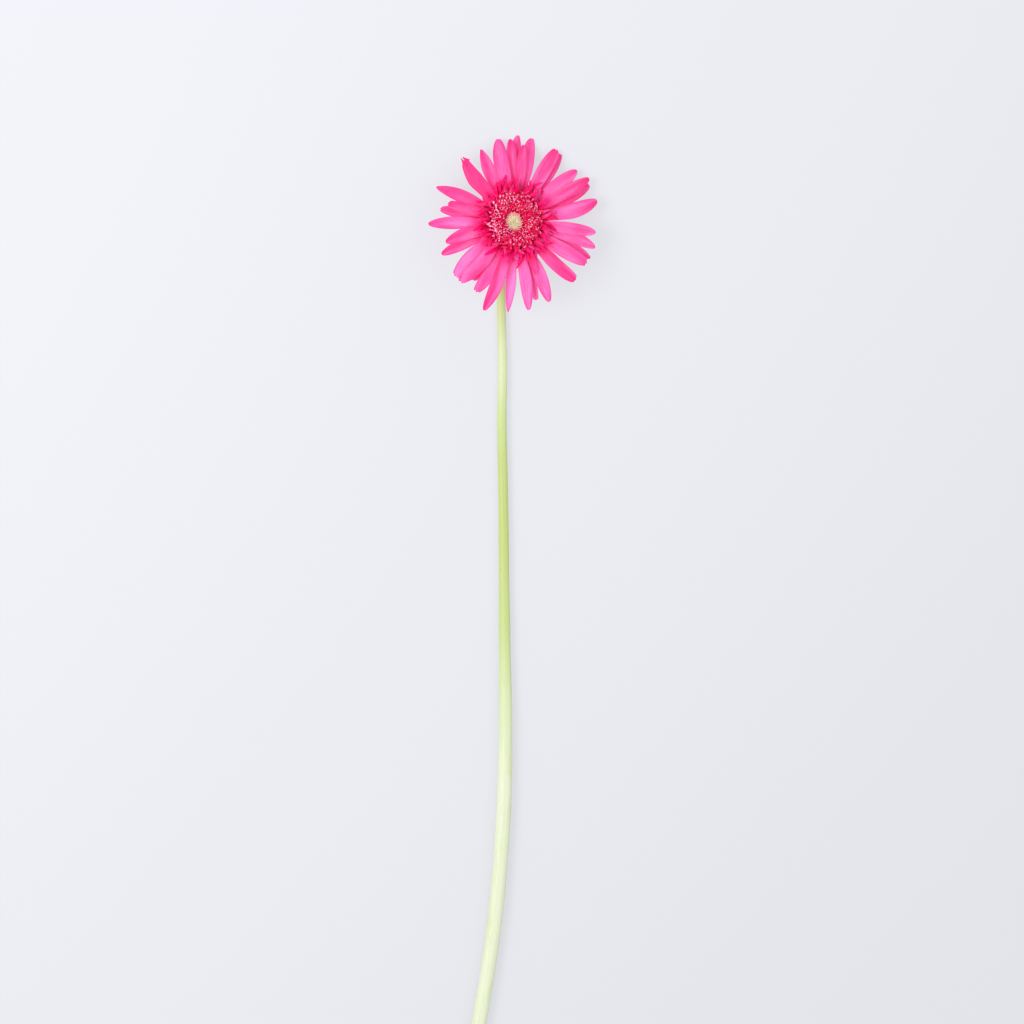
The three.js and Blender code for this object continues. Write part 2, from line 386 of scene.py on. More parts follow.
@dataclass(frozen=True)
class PetalFinish(Finish):
    """A long ray floret's skin: a deep root, a bright body, fine lengthwise veins, a paler back, and painted
    highlights and shade.
    """

    name: str = "ray_pink"
    roughness: float = 0.52
    unevenness: float = 0.16
    specular: float = 0.25
    sheen: tuple[float, float] = (0.1, 0.4)
    relief: tuple[float, float] = (0.16, 0.4)
    tissue: Tissue = Tissue(0.45, 2.0, (1.0, 0.25, 0.45))
    root: Colour = (0.95, 0.005, 0.17, 1.0)
    throat: Colour = (1.0, 0.068, 0.36, 1.0)
    body: Colour = (1.0, 0.122, 0.405, 1.0)
    tip: Colour = (1.0, 0.050, 0.275, 1.0)
    deep: Colour = (1.0, 0.010, 0.16, 1.0)
    pale: Colour = (1.0, 0.24, 0.54, 1.0)
    back: Colour = (0.95, 0.24, 0.50, 1.0)
    lengthwise: Stops = ((0.0, root), (0.21, root), (0.30, throat), (0.40, body), (0.60, body), (1.0, tip))
    # soft clouds over each petal: the pale ones are painted highlights and the deep ones are painted shade
    cloud: Grain = Grain(0.8, 1.7, 53.0, 1.0, 0.5)
    painted_highlight_cloud: Band = Band(0.53, 0.34, 0.65)
    painted_highlight_cloud_run: Band = Band(0.34, 0.5)
    painted_shade_cloud: Band = Band(0.50, 0.70, 0.55)
    streak: Grain = Grain(5.0, 1.6, 31.0, 5.0, 0.62)
    deep_streak: Band = Band(0.52, 0.82, 0.5)
    pale_streak: Band = Band(0.48, 0.20, 0.4)
    pale_streak_run: Band = Band(0.35, 0.6)
    hair: Grain = Grain(21.0, 2.5, 17.0)
    deep_hair: Band = Band(0.5, 0.8, 0.15)
    vein_waves: float = 2.5
    deep_vein: Band = Band(0.86, 1.0, 0.12)
    # painted shade: both edges turn deeper, standing in for the shade where petals overlap
    edge: Band = Band(0.74, 1.0, 0.38)
    # each petal's tone is set petal by petal; it is partly its own colour and partly painted light and shade
    tone_share: float = 0.9
    back_share: float = 0.6
    skin: Grain = Grain(34.0, 90.0, 9.0, 2.0, 0.5)
    relief_shares: tuple[float, float, float] = (0.55, 0.3, 0.15)  # veins, hairlines, skin

    def paint(self, graph: Graph) -> None:
        """Paints its length, then clouds of painted highlight and shade, streaks, veins, hairlines, painted
        shade at the edges, each petal's tone, which is partly painted light and shade, and its back.

        Args:
            graph: the material.
        """
        along, across, tone, under = graph.attributes("along", "across", "tone", "under")
        streak, hair, cloud, skin = (
            grain.over(across, along, tone) for grain in (self.streak, self.hair, self.cloud, self.skin))
        vein = (across * (math.tau * self.vein_waves)).cosine() * 0.5 + 0.5
        colour = graph.layered(
            graph.ramp(along, self.lengthwise),
            # painted highlights, then painted shade, in soft clouds
            (self.painted_highlight_cloud.over(cloud) * self.painted_highlight_cloud_run.over(along), self.pale),
            (self.painted_shade_cloud.over(cloud), self.deep),
            (self.deep_streak.over(streak), self.deep),
            (self.pale_streak.over(streak) * self.pale_streak_run.over(along), self.pale),
            (self.deep_vein.over(vein), self.deep),
            (self.deep_hair.over(hair), self.deep),
            # painted shade along both edges
            (self.edge.over(abs(across)), self.deep),
            # each petal's tone, partly painted light and shade
            (tone * self.tone_share, self.deep),
            (tone * -self.tone_share, self.pale),
            (under * self.back_share, self.back),
        )
        veined, haired, grained = self.relief_shares
        self.close(graph, colour, vein * veined + hair * haired + skin * grained, uneven=hair)


@dataclass(frozen=True)
class InnerRayFinish(Finish):
    """The short inner ray florets' skin: magenta, nearly crimson at the root, partly as painted shade, with
    painted highlights on the edges.
    """

    name: str = "inner_ray_magenta"
    roughness: float = 0.52
    unevenness: float = 0.15
    specular: float = 0.1
    relief: tuple[float, float] = (0.12, 0.5)
    tissue: Tissue = Tissue(0.42, 1.5, (1.0, 0.15, 0.35))
    # the root colour is partly the florets' own crimson and partly painted shade for the gaps between the
    # straps; the dark streaks use it too
    root: Colour = (0.70, 0.0, 0.05, 1.0)
    body: Colour = (0.94, 0.0, 0.12, 1.0)
    tip: Colour = (0.98, 0.008, 0.20, 1.0)
    # the painted highlight colour for the edges and for a few tips
    edge: Colour = (1.0, 0.11, 0.38, 1.0)
    lengthwise: Stops = ((0.0, root), (0.45, root), (0.70, body), (1.0, tip))
    streak: Grain = Grain(4.0, 3.0, 41.0, 4.0)
    dark_streak: Band = Band(0.48, 0.75, 0.75)
    # painted highlights along the edges, and on the outer part of the florets with a high tone
    painted_edge_highlight: Band = Band(0.7, 1.0, 0.4)
    painted_edge_highlight_run: Band = Band(0.6, 0.9)
    painted_tip_highlight: Band = Band(0.6, 1.0, 0.6)
    painted_tip_highlight_run: Band = Band(0.5, 0.8)

    def paint(self, graph: Graph) -> None:
        """Paints its length, then painted highlights on the edges, dark streaks that are partly painted
        shade, and painted highlights on a few tips.

        Args:
            graph: the material.
        """
        along, across, tone = graph.attributes("along", "across", "tone")
        streak = self.streak.over(across, along, tone)
        colour = graph.layered(
            graph.ramp(along, self.lengthwise),
            # painted highlight along the edges
            (self.painted_edge_highlight.over(abs(across)) * self.painted_edge_highlight_run.over(along), self.edge),
            # dark streaks, partly painted shade
            (self.dark_streak.over(streak), self.root),
            # painted highlight on the outer part of a few florets
            (self.painted_tip_highlight.over(tone) * self.painted_tip_highlight_run.over(along), self.edge),
        )
        self.close(graph, colour, streak)


@dataclass(frozen=True)
class CorollaFinish(Finish):
    """A disc floret's tube: crimson, and darker below its mouth as painted shade down among the florets."""

    name: str = "disc_crimson"
    roughness: float = 0.48
    unevenness: float = 0.2
    specular: float = 0.08
    relief: tuple[float, float] = (0.08, 0.4)
    tissue: Tissue = Tissue(0.4, 0.9, (1.0, 0.12, 0.28))
    # painted shade: the tube is darker below its mouth, where it stands down among the other florets
    deep: Colour = (0.48, 0.0, 0.032, 1.0)
    bright: Colour = (0.84, 0.0, 0.10, 1.0)
    lengthwise: Stops = ((0.0, deep), (0.80, deep), (1.0, bright))
    mottle_scale: float = 1.4
    mottled: Band = Band(0.45, 0.75, 0.45)
    tone_share: float = 0.2

    def paint(self, graph: Graph) -> None:
        """Paints its length, then a bright mottle.

        Args:
            graph: the material.
        """
        along, tone = graph.attributes("along", "tone")
        mottle = graph.noise(graph.millimetres(), self.mottle_scale)
        share = self.mottled.over(mottle) + tone * self.tone_share
        self.close(graph, graph.layered(graph.ramp(along, self.lengthwise), (share, self.bright)), mottle)


@dataclass(frozen=True)
class LobeFinish(Finish):
    """The curled lobes of the open disc florets: crimson at the throat and pale pink where they curl."""

    name: str = "lobe_pale_pink"
    roughness: float = 0.40
    unevenness: float = 0.2
    specular: float = 0.2
    relief: tuple[float, float] = (0.06, 0.4)
    tissue: Tissue = Tissue(0.3, 0.5, (1.0, 0.45, 0.5))
    throat: Colour = (0.84, 0.0, 0.10, 1.0)
    blush: Colour = (1.0, 0.05, 0.24, 1.0)
    pale: Colour = (1.0, 0.46, 0.65, 1.0)
    lengthwise: Stops = ((0.0, throat), (0.12, throat), (0.26, blush), (0.42, pale))
    mottle_scale: float = 2.1
    waver: float = 0.2
    crimson_tone: Band = Band(0.30, 0.66, 0.95)

    def paint(self, graph: Graph) -> None:
        """Paints its length with an uneven border, then turns some lobes crimson.

        Args:
            graph: the material.
        """
        along, tone = graph.attributes("along", "tone")
        mottle = graph.noise(graph.millimetres(), self.mottle_scale)
        colour = graph.ramp(along + mottle * self.waver - self.waver / 2, self.lengthwise)
        self.close(graph, graph.layered(colour, (self.crimson_tone.over(tone), self.throat)), mottle)


@dataclass(frozen=True)
class AntherFinish(Finish):
    """The pollen columns: crimson, and amber with a dusting where they are ripe."""

    name: str = "anther_amber"
    roughness: float = 0.7
    relief: tuple[float, float] = (0.1, 0.6)
    amber: Colour = (0.86, 0.36, 0.05, 1.0)
    crimson: Colour = (0.60, 0.01, 0.05, 1.0)
    pollen: Colour = (0.95, 0.66, 0.22, 1.0)
    dust: tuple[float, float, float] = (6.0, 4.0, 0.7)  # scale, detail, roughness
    dusted: Band = Band(0.5, 0.62, 0.6)

    def paint(self, graph: Graph) -> None:
        """Dusts the amber with pollen, and turns unripe columns crimson.

        Args:
            graph: the material.
        """
        dust = graph.noise(graph.millimetres(), *self.dust)
        coats = (self.dusted.over(dust), self.pollen), (graph.attributes("tone")[0], self.crimson)
        self.close(graph, graph.layered(self.amber, *coats), dust)


@dataclass(frozen=True)
class BudFinish(Finish):
    """The closed buds in the middle of the disc: cream with a touch of green and a pink flush."""

    name: str = "bud_cream"
    roughness: float = 0.45
    unevenness: float = 0.15
    relief: tuple[float, float] = (0.05, 0.4)
    tissue: Tissue = Tissue(0.3, 0.6, (0.9, 0.8, 0.4))
    cream: Colour = (1.0, 0.90, 0.66, 1.0)
    green: Colour = (0.92, 0.80, 0.43, 1.0)
    flush: Colour = (0.90, 0.34, 0.36, 1.0)
    mottle_scale: float = 2.6
    mottled: Band = Band(0.4, 0.7, 0.5)
    green_foot: Band = Band(0.75, 0.35, 0.6)
    flushed: Band = Band(0.1, 1.0, 0.85)

    def paint(self, graph: Graph) -> None:
        """Mottles the cream with green, greens its foot and flushes some buds.

        Args:
            graph: the material.
        """
        along, tone = graph.attributes("along", "tone")
        mottle = graph.noise(graph.millimetres(), self.mottle_scale)
        coats = ((self.mottled.over(mottle), self.green), (self.green_foot.over(along), self.green),
                 (self.flushed.over(tone), self.flush))
        self.close(graph, graph.layered(self.cream, *coats), mottle)


@dataclass(frozen=True)
class StemFinish(Finish):
    """The stalk's skin: the head's shadow painted on it just under the head, greener half way down, cream
    towards the foot, striated.
    """

    name: str = "stem_green"
    roughness: float = 0.44
    unevenness: float = 0.2
    specular: float = 0.4
    sheen: tuple[float, float] = (0.2, 0.5)
    relief: tuple[float, float] = (0.25, 0.6)
    tissue: Tissue = Tissue(0.3, 1.5, (0.8, 1.0, 0.4))
    length: float = 455.0
    # the head's shadow, painted on the stalk just under the head
    shade: Colour = (0.46, 0.53, 0.21, 1.0)
    green: Colour = (0.455, 0.530, 0.160, 1.0)
    lime: Colour = (0.49, 0.575, 0.225, 1.0)
    pale: Colour = (0.59, 0.648, 0.385, 1.0)
    cream: Colour = (0.65, 0.690, 0.500, 1.0)
    # from the head down: the head's painted shadow first, then the stalk's colours along its length
    downwards: Stops = (
        (0, shade), (36, shade), (62, pale), (76, pale), (104, lime), (122, green), (160, green),
        (206, lime), (244, pale), (290, cream), (455, cream))
    stripe: Grain = Grain(0.085, 0.012, 3.0, 5.0, 0.65)
    green_stripe: Band = Band(0.46, 0.74, 0.35)
    cream_stripe: Band = Band(0.5, 0.28, 0.35)
    blotch: Grain = Grain(0.012, 0.05, 7.0, 4.0)
    green_blotch: Band = Band(0.5, 0.75, 0.28)
    pores: tuple[float, float, float] = (2.2, 3.0, 0.6)  # scale, detail, roughness
    stripe_relief: float = 0.75

    def paint(self, graph: Graph) -> None:
        """Paints its length by the millimetre, then stripes and blotches.

        Args:
            graph: the material.
        """
        down, around = graph.attributes("down", "around")  # millimetres from the head, degrees
        stripe, blotch = self.stripe.over(around, down), self.blotch.over(around, down)
        pores = graph.noise(graph.millimetres(), *self.pores)
        stops = [(place / self.length, colour) for place, colour in self.downwards]
        colour = graph.layered(
            graph.ramp(down * (1.0 / self.length), stops), (self.green_stripe.over(stripe), self.green),
            (self.cream_stripe.over(stripe), self.cream), (self.green_blotch.over(blotch), self.green))
        height = stripe * self.stripe_relief + pores * (1.0 - self.stripe_relief)
        self.close(graph, colour, height, uneven=pores)


@dataclass(frozen=True)
class CutFinish(Finish):
    """The cut face of the stalk: a green rim round pale, spongy pith."""

    name: str = "stem_cut"
    relief: tuple[float, float] = (0.25, 0.7)
    tissue: Tissue = Tissue(0.35, 1.2, (0.8, 1.0, 0.5))
    rim: Colour = (0.46, 0.60, 0.16, 1.0)
    flesh: Colour = (0.74, 0.82, 0.46, 1.0)
    pith: Colour = (0.86, 0.87, 0.70, 1.0)
    outwards: Stops = ((0.0, pith), (0.55, pith), (0.74, flesh), (0.93, flesh), (1.0, rim))
    cells: tuple[float, float, float] = (3.2, 4.0, 0.7)  # scale, detail, roughness
    waver: float = 0.12

    def paint(self, graph: Graph) -> None:
        """Paints rings with uneven borders.

        Args:
            graph: the material.
        """
        cells = graph.noise(graph.millimetres(), *self.cells)
        out = graph.attributes("across")[0] + cells * self.waver - self.waver / 2
        self.close(graph, graph.ramp(out, self.outwards), cells)


@dataclass(frozen=True)
class BractFinish(Finish):
    """A bract's skin: mid green with a paler margin, pale streaks and a rusty tip."""

    name: str = "bract_green"
    roughness: float = 0.55
    unevenness: float = 0.2
    sheen: tuple[float, float] = (0.3, 0.5)
    relief: tuple[float, float] = (0.2, 0.6)
    tissue: Tissue = Tissue(0.15, 0.8, (0.7, 1.0, 0.3))
    base: Colour = (0.42, 0.52, 0.16, 1.0)
    blade: Colour = (0.17, 0.27, 0.065, 1.0)
    margin: Colour = (0.52, 0.60, 0.30, 1.0)
    rust: Colour = (0.30, 0.09, 0.06, 1.0)
    lengthwise: Stops = ((0.0, base), (0.25, base), (0.55, blade), (0.86, blade), (1.0, rust))
    streak: Grain = Grain(4.0, 2.0, 23.0, 4.0)
    pale_streak: Band = Band(0.5, 0.8, 0.5)
    pale_margin: Band = Band(0.62, 0.95, 0.7)

    def paint(self, graph: Graph) -> None:
        """Paints its length, then its margin and streaks.

        Args:
            graph: the material.
        """
        along, across, tone = graph.attributes("along", "across", "tone")
        streak = self.streak.over(across, along, tone)
        coats = (self.pale_margin.over(abs(across)), self.margin), (self.pale_streak.over(streak), self.base)
        self.close(graph, graph.layered(graph.ramp(along, self.lengthwise), *coats), streak)


@dataclass(frozen=True)
class ReceptacleFinish(Finish):
    """The receptacle's plain green tissue, with a soft mottle."""

    name: str = "receptacle_green"
    unevenness: float = 0.2
    sheen: tuple[float, float] = (0.2, 0.5)
    tissue: Tissue = Tissue(0.2, 0.9, (0.8, 1.0, 0.4))
    light: Colour = (0.46, 0.56, 0.18, 1.0)
    dark: Colour = (0.24, 0.34, 0.08, 1.0)
    mottle: tuple[float, float, float] = (1.1, 4.0, 0.6)  # scale, detail, roughness
    mottled: Band = Band(0.35, 0.7)

    def paint(self, graph: Graph) -> None:
        """Mottles the light green with the dark.

        Args:
            graph: the material.
        """
        mottle = graph.noise(graph.millimetres(), *self.mottle)
        self.close(graph, graph.layered(self.light, (self.mottled.over(mottle), self.dark)), mottle)


@dataclass(frozen=True)
class TableFinish(Finish):
    """The pale table, which glows a little so that shadows on it stay faint."""

    name: str = "table_pale"
    roughness: float = 0.9
    specular: float = 0.1
    colour: Colour = (0.20, 0.203, 0.213, 1.0)
    glow: Colour = (0.88, 0.89, 0.935, 1.0)
    dim: Colour = (0.76, 0.765, 0.80, 1.0)
    glow_strength: float = 0.68
    middle: float = 62.0
    fade_length: float = 960.0

    def paint(self, graph: Graph) -> None:
        """Fades the glow from one far corner of the table to the other.

        Args:
            graph: the material.
        """
        place = graph.millimetres()
        beside, ahead = (graph.node("ShaderNodeSeparateXYZ", {}, {0: place}, key) for key in "XY")
        fade = (beside - ahead + self.middle) * (1.0 / self.fade_length) + 0.5
        graph.feed(graph.shader.inputs["Emission Color"], graph.mix(fade, self.glow, self.dim))
        graph.shade(self.colour, self.roughness, {
            "Specular IOR Level": self.specular, "Emission Strength": self.glow_strength})


# ------------------------------------------------ mesh drafting


def grid_faces(rows: int, columns: int, closed: bool) -> np.ndarray:
    """Quads over a grid of points that is numbered row by row.

    Args:
        rows: how many rows of points.
        columns: how many points in a row.
        closed: whether each row closes on itself.

    Returns:
        The quads' corner numbers, four to a row.
    """
    here = np.arange(rows - 1)[:, None] * columns
    spans = columns if closed else columns - 1
    start = np.arange(spans)[None, :]
    after = (start + 1) % columns
    corners = [here + start, here + columns + start, here + columns + after, here + after]
    return np.stack([corner.ravel() for corner in corners], axis=1)


@dataclass
class Draft:
    """Points, faces and point values gathered for one mesh, in millimetres."""

    points: list[np.ndarray] = field(default_factory=list)
    faces: list[list[int]] = field(default_factory=list)
    slots: list[int] = field(default_factory=list)
    values: dict[str, list[np.ndarray]] = field(default_factory=dict)
    count: int = 0

    def add(self, points: np.ndarray, faces: Iterable[Sequence[int]], slot: int = 0,
            **values: np.ndarray | float) -> None:
        """Adds a patch.

        Args:
            points: its points, one to a row.
            faces: its faces, by point number from 0.
            slot: the number of its material.
            values: numbers stored at its points, by name.
        """
        patch = [[self.count + int(corner) for corner in face] for face in faces]
        self.points.append(points)
        self.faces.extend(patch)
        self.slots.extend([slot] * len(patch))
        for name, value in values.items():
            spread = np.broadcast_to(np.asarray(value, float), (len(points),))
            self.values.setdefault(name, []).append(spread)
        self.count += len(points)

    def add_rings(self, rings: np.ndarray, slot: int = 0, **values: np.ndarray | float) -> None:
        """Adds a closed tube from its rings of points, with fans over both ends.

        Args:
            rings: points as (ring, point, xyz).
            slot: the number of its material.
            values: numbers stored at its points, by name, as (ring, point), (ring, 1) or one number.
        """
        count, sides = rings.shape[:2]
        ends = np.stack([rings[0].mean(axis=0), rings[-1].mean(axis=0)])
        points = np.concatenate([rings.reshape(-1, 3), ends])
        faces = [list(face) for face in grid_faces(count, sides, closed=True)]
        last = (count - 1) * sides
        for side in range(sides):
            after = (side + 1) % sides
            faces.append([side, after, count * sides])
            faces.append([last + after, last + side, count * sides + 1])
        spread = {}
        for name, value in values.items():
            full = np.broadcast_to(np.asarray(value, float), (count, sides))
            spread[name] = np.concatenate([full.ravel(), [full[0].mean(), full[-1].mean()]])
        self.add(points, faces, slot, **spread)

    def build(self, name: str, materials: Sequence[bpy.types.Material]) -> bpy.types.Object:
        """Makes the mesh object, smooth shaded.

        Args:
            name: the piece's name.
            materials: its materials, in the order of the slots.

        Returns:
            The object, linked into the scene.
        """
        mesh = bpy.data.meshes.new(name)
        mesh.from_pydata((np.concatenate(self.points) * MM).tolist(), [], self.faces)
        for material in materials:
            mesh.materials.append(material)
        mesh.polygons.foreach_set("material_index", self.slots)
        mesh.polygons.foreach_set("use_smooth", [True] * len(self.faces))
        for key, parts in self.values.items():
            stored = mesh.attributes.new(key, "FLOAT", "POINT")
            stored.data.foreach_set("value", np.concatenate(parts).astype(np.float32))
        mesh.update()
        made = bpy.data.objects.new(name, mesh)
        bpy.context.scene.collection.objects.link(made)
        return made


def place_piece(piece: bpy.types.Object, nodes: Sequence[str] = ()) -> bpy.types.Object:
    """Rides a piece on the flower's body and says which nodes it stands for.

    Args:
        piece: the finished object.
        nodes: the nodes that it replaces.

    Returns:
        The piece.
    """
    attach(piece, BODY)
    if nodes:
        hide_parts(*nodes)
    LOG.info("%s: %d faces", piece.name, len(piece.data.polygons))
    return piece


# ------------------------------------------------ the head's place


@dataclass(frozen=True)
class HeadPlace:
    """Where the head stands in the flower's frame: its origin, and its three axes as rows."""

    origin: np.ndarray
    axes: np.ndarray
    table_clearance: float = 0.05
    table_softness: float = 0.6

    @classmethod
    def from_frame(cls, lean: tuple[float, float], dish: Outline) -> "HeadPlace":
        """Finds the head from the receptacle's box and the axis's lean.

        Args:
            lean: how far the axis leans from upright towards +X and towards +Y.
            dish: the receptacle's outline as (radius, height).

        Returns:
            The head's place.
        """
        axis = unit(np.array([*np.tan(np.radians(lean)), 1.0]))
        side = unit(np.cross([0.0, 1.0, 0.0], axis))
        axes = np.stack([side, np.cross(axis, side), axis])
        low, high = (np.array(corner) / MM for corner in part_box("receptacle"))
        radius, height = np.array(dish).T
        swing = np.sqrt(1.0 - axis**2)
        reach = height[:, None] * axis[None, :], radius[:, None] * swing[None, :]
        middle = ((reach[0] + reach[1]).max(axis=0) + (reach[0] - reach[1]).min(axis=0)) / 2
        return cls((low + high) / 2 - middle, axes)

    def to_flower(self, points: np.ndarray) -> np.ndarray:
        """Points of the head in the flower's frame."""
        return points @ self.axes + self.origin

    def rest_on_table(self, points: np.ndarray, over: np.ndarray | float = 0.0) -> np.ndarray:
        """Bends points that would be under the table up onto it.

        Args:
            points: points in the flower's frame.
            over: how far over the table each of them stays.

        Returns:
            The points.
        """
        lifted = points.copy()
        lifted[..., 2] = over + bent_onto(points[..., 2] - over, self.table_clearance, self.table_softness)
        return lifted


@dataclass(frozen=True)
class Arch:
    """A cubic curve in the head's (radius, height) half plane."""

    controls: tuple[tuple[float, float], ...]
    samples: int = 240
    step: float = 1e-4

    def at(self, share: np.ndarray) -> np.ndarray:
        """Points at shares of the curve's parameter."""
        back = 1.0 - share
        weights = [back**3, 3 * share * back**2, 3 * share**2 * back, share**3]
        return sum(weight[..., None] * np.array(point) for weight, point in zip(weights, self.controls))

    def normal(self, share: np.ndarray) -> np.ndarray:
        """Unit normals there, on the side of the disc."""
        run = self.at(np.minimum(share + self.step, 1.0)) - self.at(np.maximum(share - self.step, 0.0))
        return unit(np.stack([-run[..., 1], run[..., 0]], axis=-1))

    def share_at(self, radius: np.ndarray | float) -> np.ndarray:
        """The parameter where the curve has a radius."""
        shares = np.linspace(0.0, 1.0, self.samples)
        return np.interp(radius, self.at(shares)[:, 0], shares)


# ------------------------------------------------ blades


class TipForm(Enum):
    """How a blade ends."""

    POINTED = (0.08, 1.7, 0.78, 0.0)
    ROUNDED = (0.14, 2.1, 0.64, 0.0)
    BLUNT = (0.36, 2.8, 0.60, 0.05)
    TOOTHED = (0.30, 2.3, 0.62, 0.09)
    PINCHED = (0.26, 1.2, 0.85, 0.26)

    def __init__(self, keep: float, power: float, fall: float, teeth: float) -> None:
        """Names the numbers.

        Args:
            keep: the share of its width that the blade keeps at the very end.
            power: how late it starts to narrow.
            fall: how round the narrowing is.
            teeth: the teeth's depth, as a share of the width.
        """
        self.keep = keep
        self.power = power
        self.fall = fall
        self.teeth = teeth


# Where a blade's forms start and end, as shares of its run.
WIDENING_START = -0.12
ROOT_END = 0.35
TIP_START = 0.86
TURN_MIDDLE, TURN_END = 0.5, 1.1
CUP_START = 0.1
FOLD_RUN, FLUTE_RUN, RIPPLE_RUN = (0.05, 0.4), (0.1, 0.3), (0.3, 0.6)
# How many waves a blade's flutes make from middle to edge, and its ripple from root to tip.
FLUTE_WAVES, RIPPLE_WAVES = 2, 1.7
# How much thinner a blade is at its edges and its tip, and how near its end comes to a half circle.
EDGE_THINNING, TIP_THINNING = 0.7, 0.4
TIP_ROUNDNESS = 0.96


@dataclass(frozen=True)
class Blade:
    """A thin strap that leaves the head along an arch: a ray floret or a bract."""

    arch: Arch
    root: float
    heading: float
    tip: float
    reach: float
    width: float
    offset: float = 0.0
    tip_form: TipForm = TipForm.ROUNDED
    waist: float = 0.38
    fullest: float = 0.6
    cup: float = 0.3
    fold: float = 0.0
    lift: float = 0.0
    twist: float = 0.0
    flute: float = 0.08
    ripple: float = 0.0
    phase: float = 0.0
    thickness: float = 0.35
    tooth_pitch: float = 1.0

    def half_width(self, run: np.ndarray) -> np.ndarray:
        """Half the blade's width.

        Args:
            run: shares of its run.

        Returns:
            The half width at each.
        """
        form = self.tip_form
        body = self.waist + (1.0 - self.waist) * smooth(run, WIDENING_START, self.fullest)
        past = np.clip((run - self.fullest) / (1.0 - self.fullest), 0.0, 1.0)
        taper = (1.0 - past**form.power) ** form.fall
        return self.width / 2 * body * (form.keep + (1.0 - form.keep) * taper)

    def tip_cut(self, across: np.ndarray) -> np.ndarray:
        """How far short of its reach the blade ends.

        Args:
            across: places from one edge, -1, to the other, 1.

        Returns:
            The distance at each.
        """
        form = self.tip_form
        rounding = self.width * form.keep * 0.5 * (1.0 - np.sqrt(1.0 - TIP_ROUNDNESS * across**2))
        comb = 0.5 - 0.5 * np.cos(math.tau * (across / self.tooth_pitch + self.phase))
        return rounding + self.width * form.teeth * comb

    def surface(self, rows: int, columns: int) -> tuple[np.ndarray, np.ndarray, np.ndarray]:
        """The blade's middle surface in the head's frame.

        Args:
            rows: stations from root to tip.
            columns: points across.

        Returns:
            The points, and each one's share along and across.
        """
        run, across = np.meshgrid(np.linspace(0, 1, rows), np.linspace(-1, 1, columns), indexing="ij")
        first = self.arch.controls[0][0]
        radius = first + (self.reach - first) * run - self.tip_cut(across) * smooth(run, TIP_START, 1.0)
        share = self.arch.share_at(radius)
        # at the root the stations are even along the arch's parameter, and further out along the radius
        root_share = self.arch.share_at(self.reach) * run
        share = root_share + (share - root_share) * smooth(run, 0.0, ROOT_END)
        station = self.arch.at(share)
        normal = self.arch.normal(share)
        run_true = np.clip((station[..., 0] - first) / (self.reach - first), 0.0, 1.0)
        azimuth = (self.root + (self.heading - self.root) * smooth(share / share.max(), 0.0, TURN_MIDDLE)
                   + (self.tip - self.heading) * smooth(run, TURN_MIDDLE, TURN_END))
        lean = math.radians(self.twist) * run_true**2
        sideways = across * self.half_width(run_true)
        rise = (self.cup * across**2 * np.sin(math.pi * (CUP_START + (1 - CUP_START) * run_true))
                + self.fold * np.abs(across) * smooth(run_true, *FOLD_RUN)
                + self.flute * np.cos(math.tau * FLUTE_WAVES * across) * (1 - across**2)
                * smooth(run_true, *FLUTE_RUN)
                + self.ripple * np.sin(math.tau * (RIPPLE_WAVES * run_true + self.phase)) * across**3
                * smooth(run_true, *RIPPLE_RUN)
                + self.lift * run_true**3)
        over = rise * np.cos(lean) + sideways * np.sin(lean)
        beside = sideways * np.cos(lean) - rise * np.sin(lean)
        middle = station + normal * (self.offset + over)[..., None]
        points = (around_axis(middle[..., 0], azimuth, middle[..., 1])
                  + around_axis(beside, azimuth + QUARTER_TURN, 0.0))
        return points, run_true, across

    def draft(self, draft: Draft, place: HeadPlace, rows: int, columns: int, slot: int = 0,
              rests: bool = False, **values: float) -> None:
        """Adds the blade to a draft as a closed solid.

        Args:
            draft: the draft.
            place: the head's place.
            rows: stations from root to tip.
            columns: points across.
            slot: the number of its material.
            rests: whether it may bend up onto the table.
            values: numbers stored all over it, by name.
        """
        points, along, across = self.surface(rows, columns)
        middle = place.to_flower(points)
        if rests:
            middle = place.rest_on_table(middle, self.thickness / 2)
        normal = unit(np.cross(np.gradient(middle, axis=0), np.gradient(middle, axis=1)))
        half = self.thickness / 2 * (1.0 - EDGE_THINNING * across**6) * (1.0 - TIP_THINNING * along**2)
        upper = middle + normal * half[..., None]
        lower = middle - normal * half[..., None]
        rings = np.concatenate([upper, lower[:, ::-1]], axis=1)
        count, sides = rings.shape[:2]
        faces = [list(face) for face in grid_faces(count, sides, closed=True)]
        last = (count - 1) * sides
        for column in range(columns - 1):
            under, beyond = sides - 1 - column, sides - 2 - column
            faces.append([column, column + 1, beyond, under])
            faces.append([last + under, last + beyond, last + column + 1, last + column])
        spread = {
            "along": np.concatenate([along, along[:, ::-1]], axis=1).ravel(),
            "across": np.concatenate([across, across[:, ::-1]], axis=1).ravel(),
            "under": np.repeat([[0.0] * columns + [1.0] * columns], rows, axis=0).ravel(),
        }
        draft.add(rings.reshape(-1, 3), faces, slot, **spread, **values)


# ------------------------------------------------ ray florets


class Layer(Enum):
    """Which of the whorl's three overlapping layers a floret lies in."""

    LOW = -1.3
    MIDDLE = 0.0
    TOP = 1.3


@dataclass(frozen=True)
class RayPlan:
    """One long ray floret as it lies: azimuths, reach, width, layer and its own character; its tone is partly
    painted light and shade.
    """

    heading: float
    tip: float
    reach: float
    width: float
    layer: Layer
    form: TipForm = TipForm.ROUNDED
    # tone: partly the petal's own colour and partly painted light and shade
    tone: float = 0.3
    fold: float = 0.0
    lift: float = 0.0
    twist: float = 0.0
    root_turn: float = 0.0


LOW, MIDDLE, TOP = Layer.LOW, Layer.MIDDLE, Layer.TOP
POINTED, ROUNDED, BLUNT = TipForm.POINTED, TipForm.ROUNDED, TipForm.BLUNT
TOOTHED, PINCHED = TipForm.TOOTHED, TipForm.PINCHED

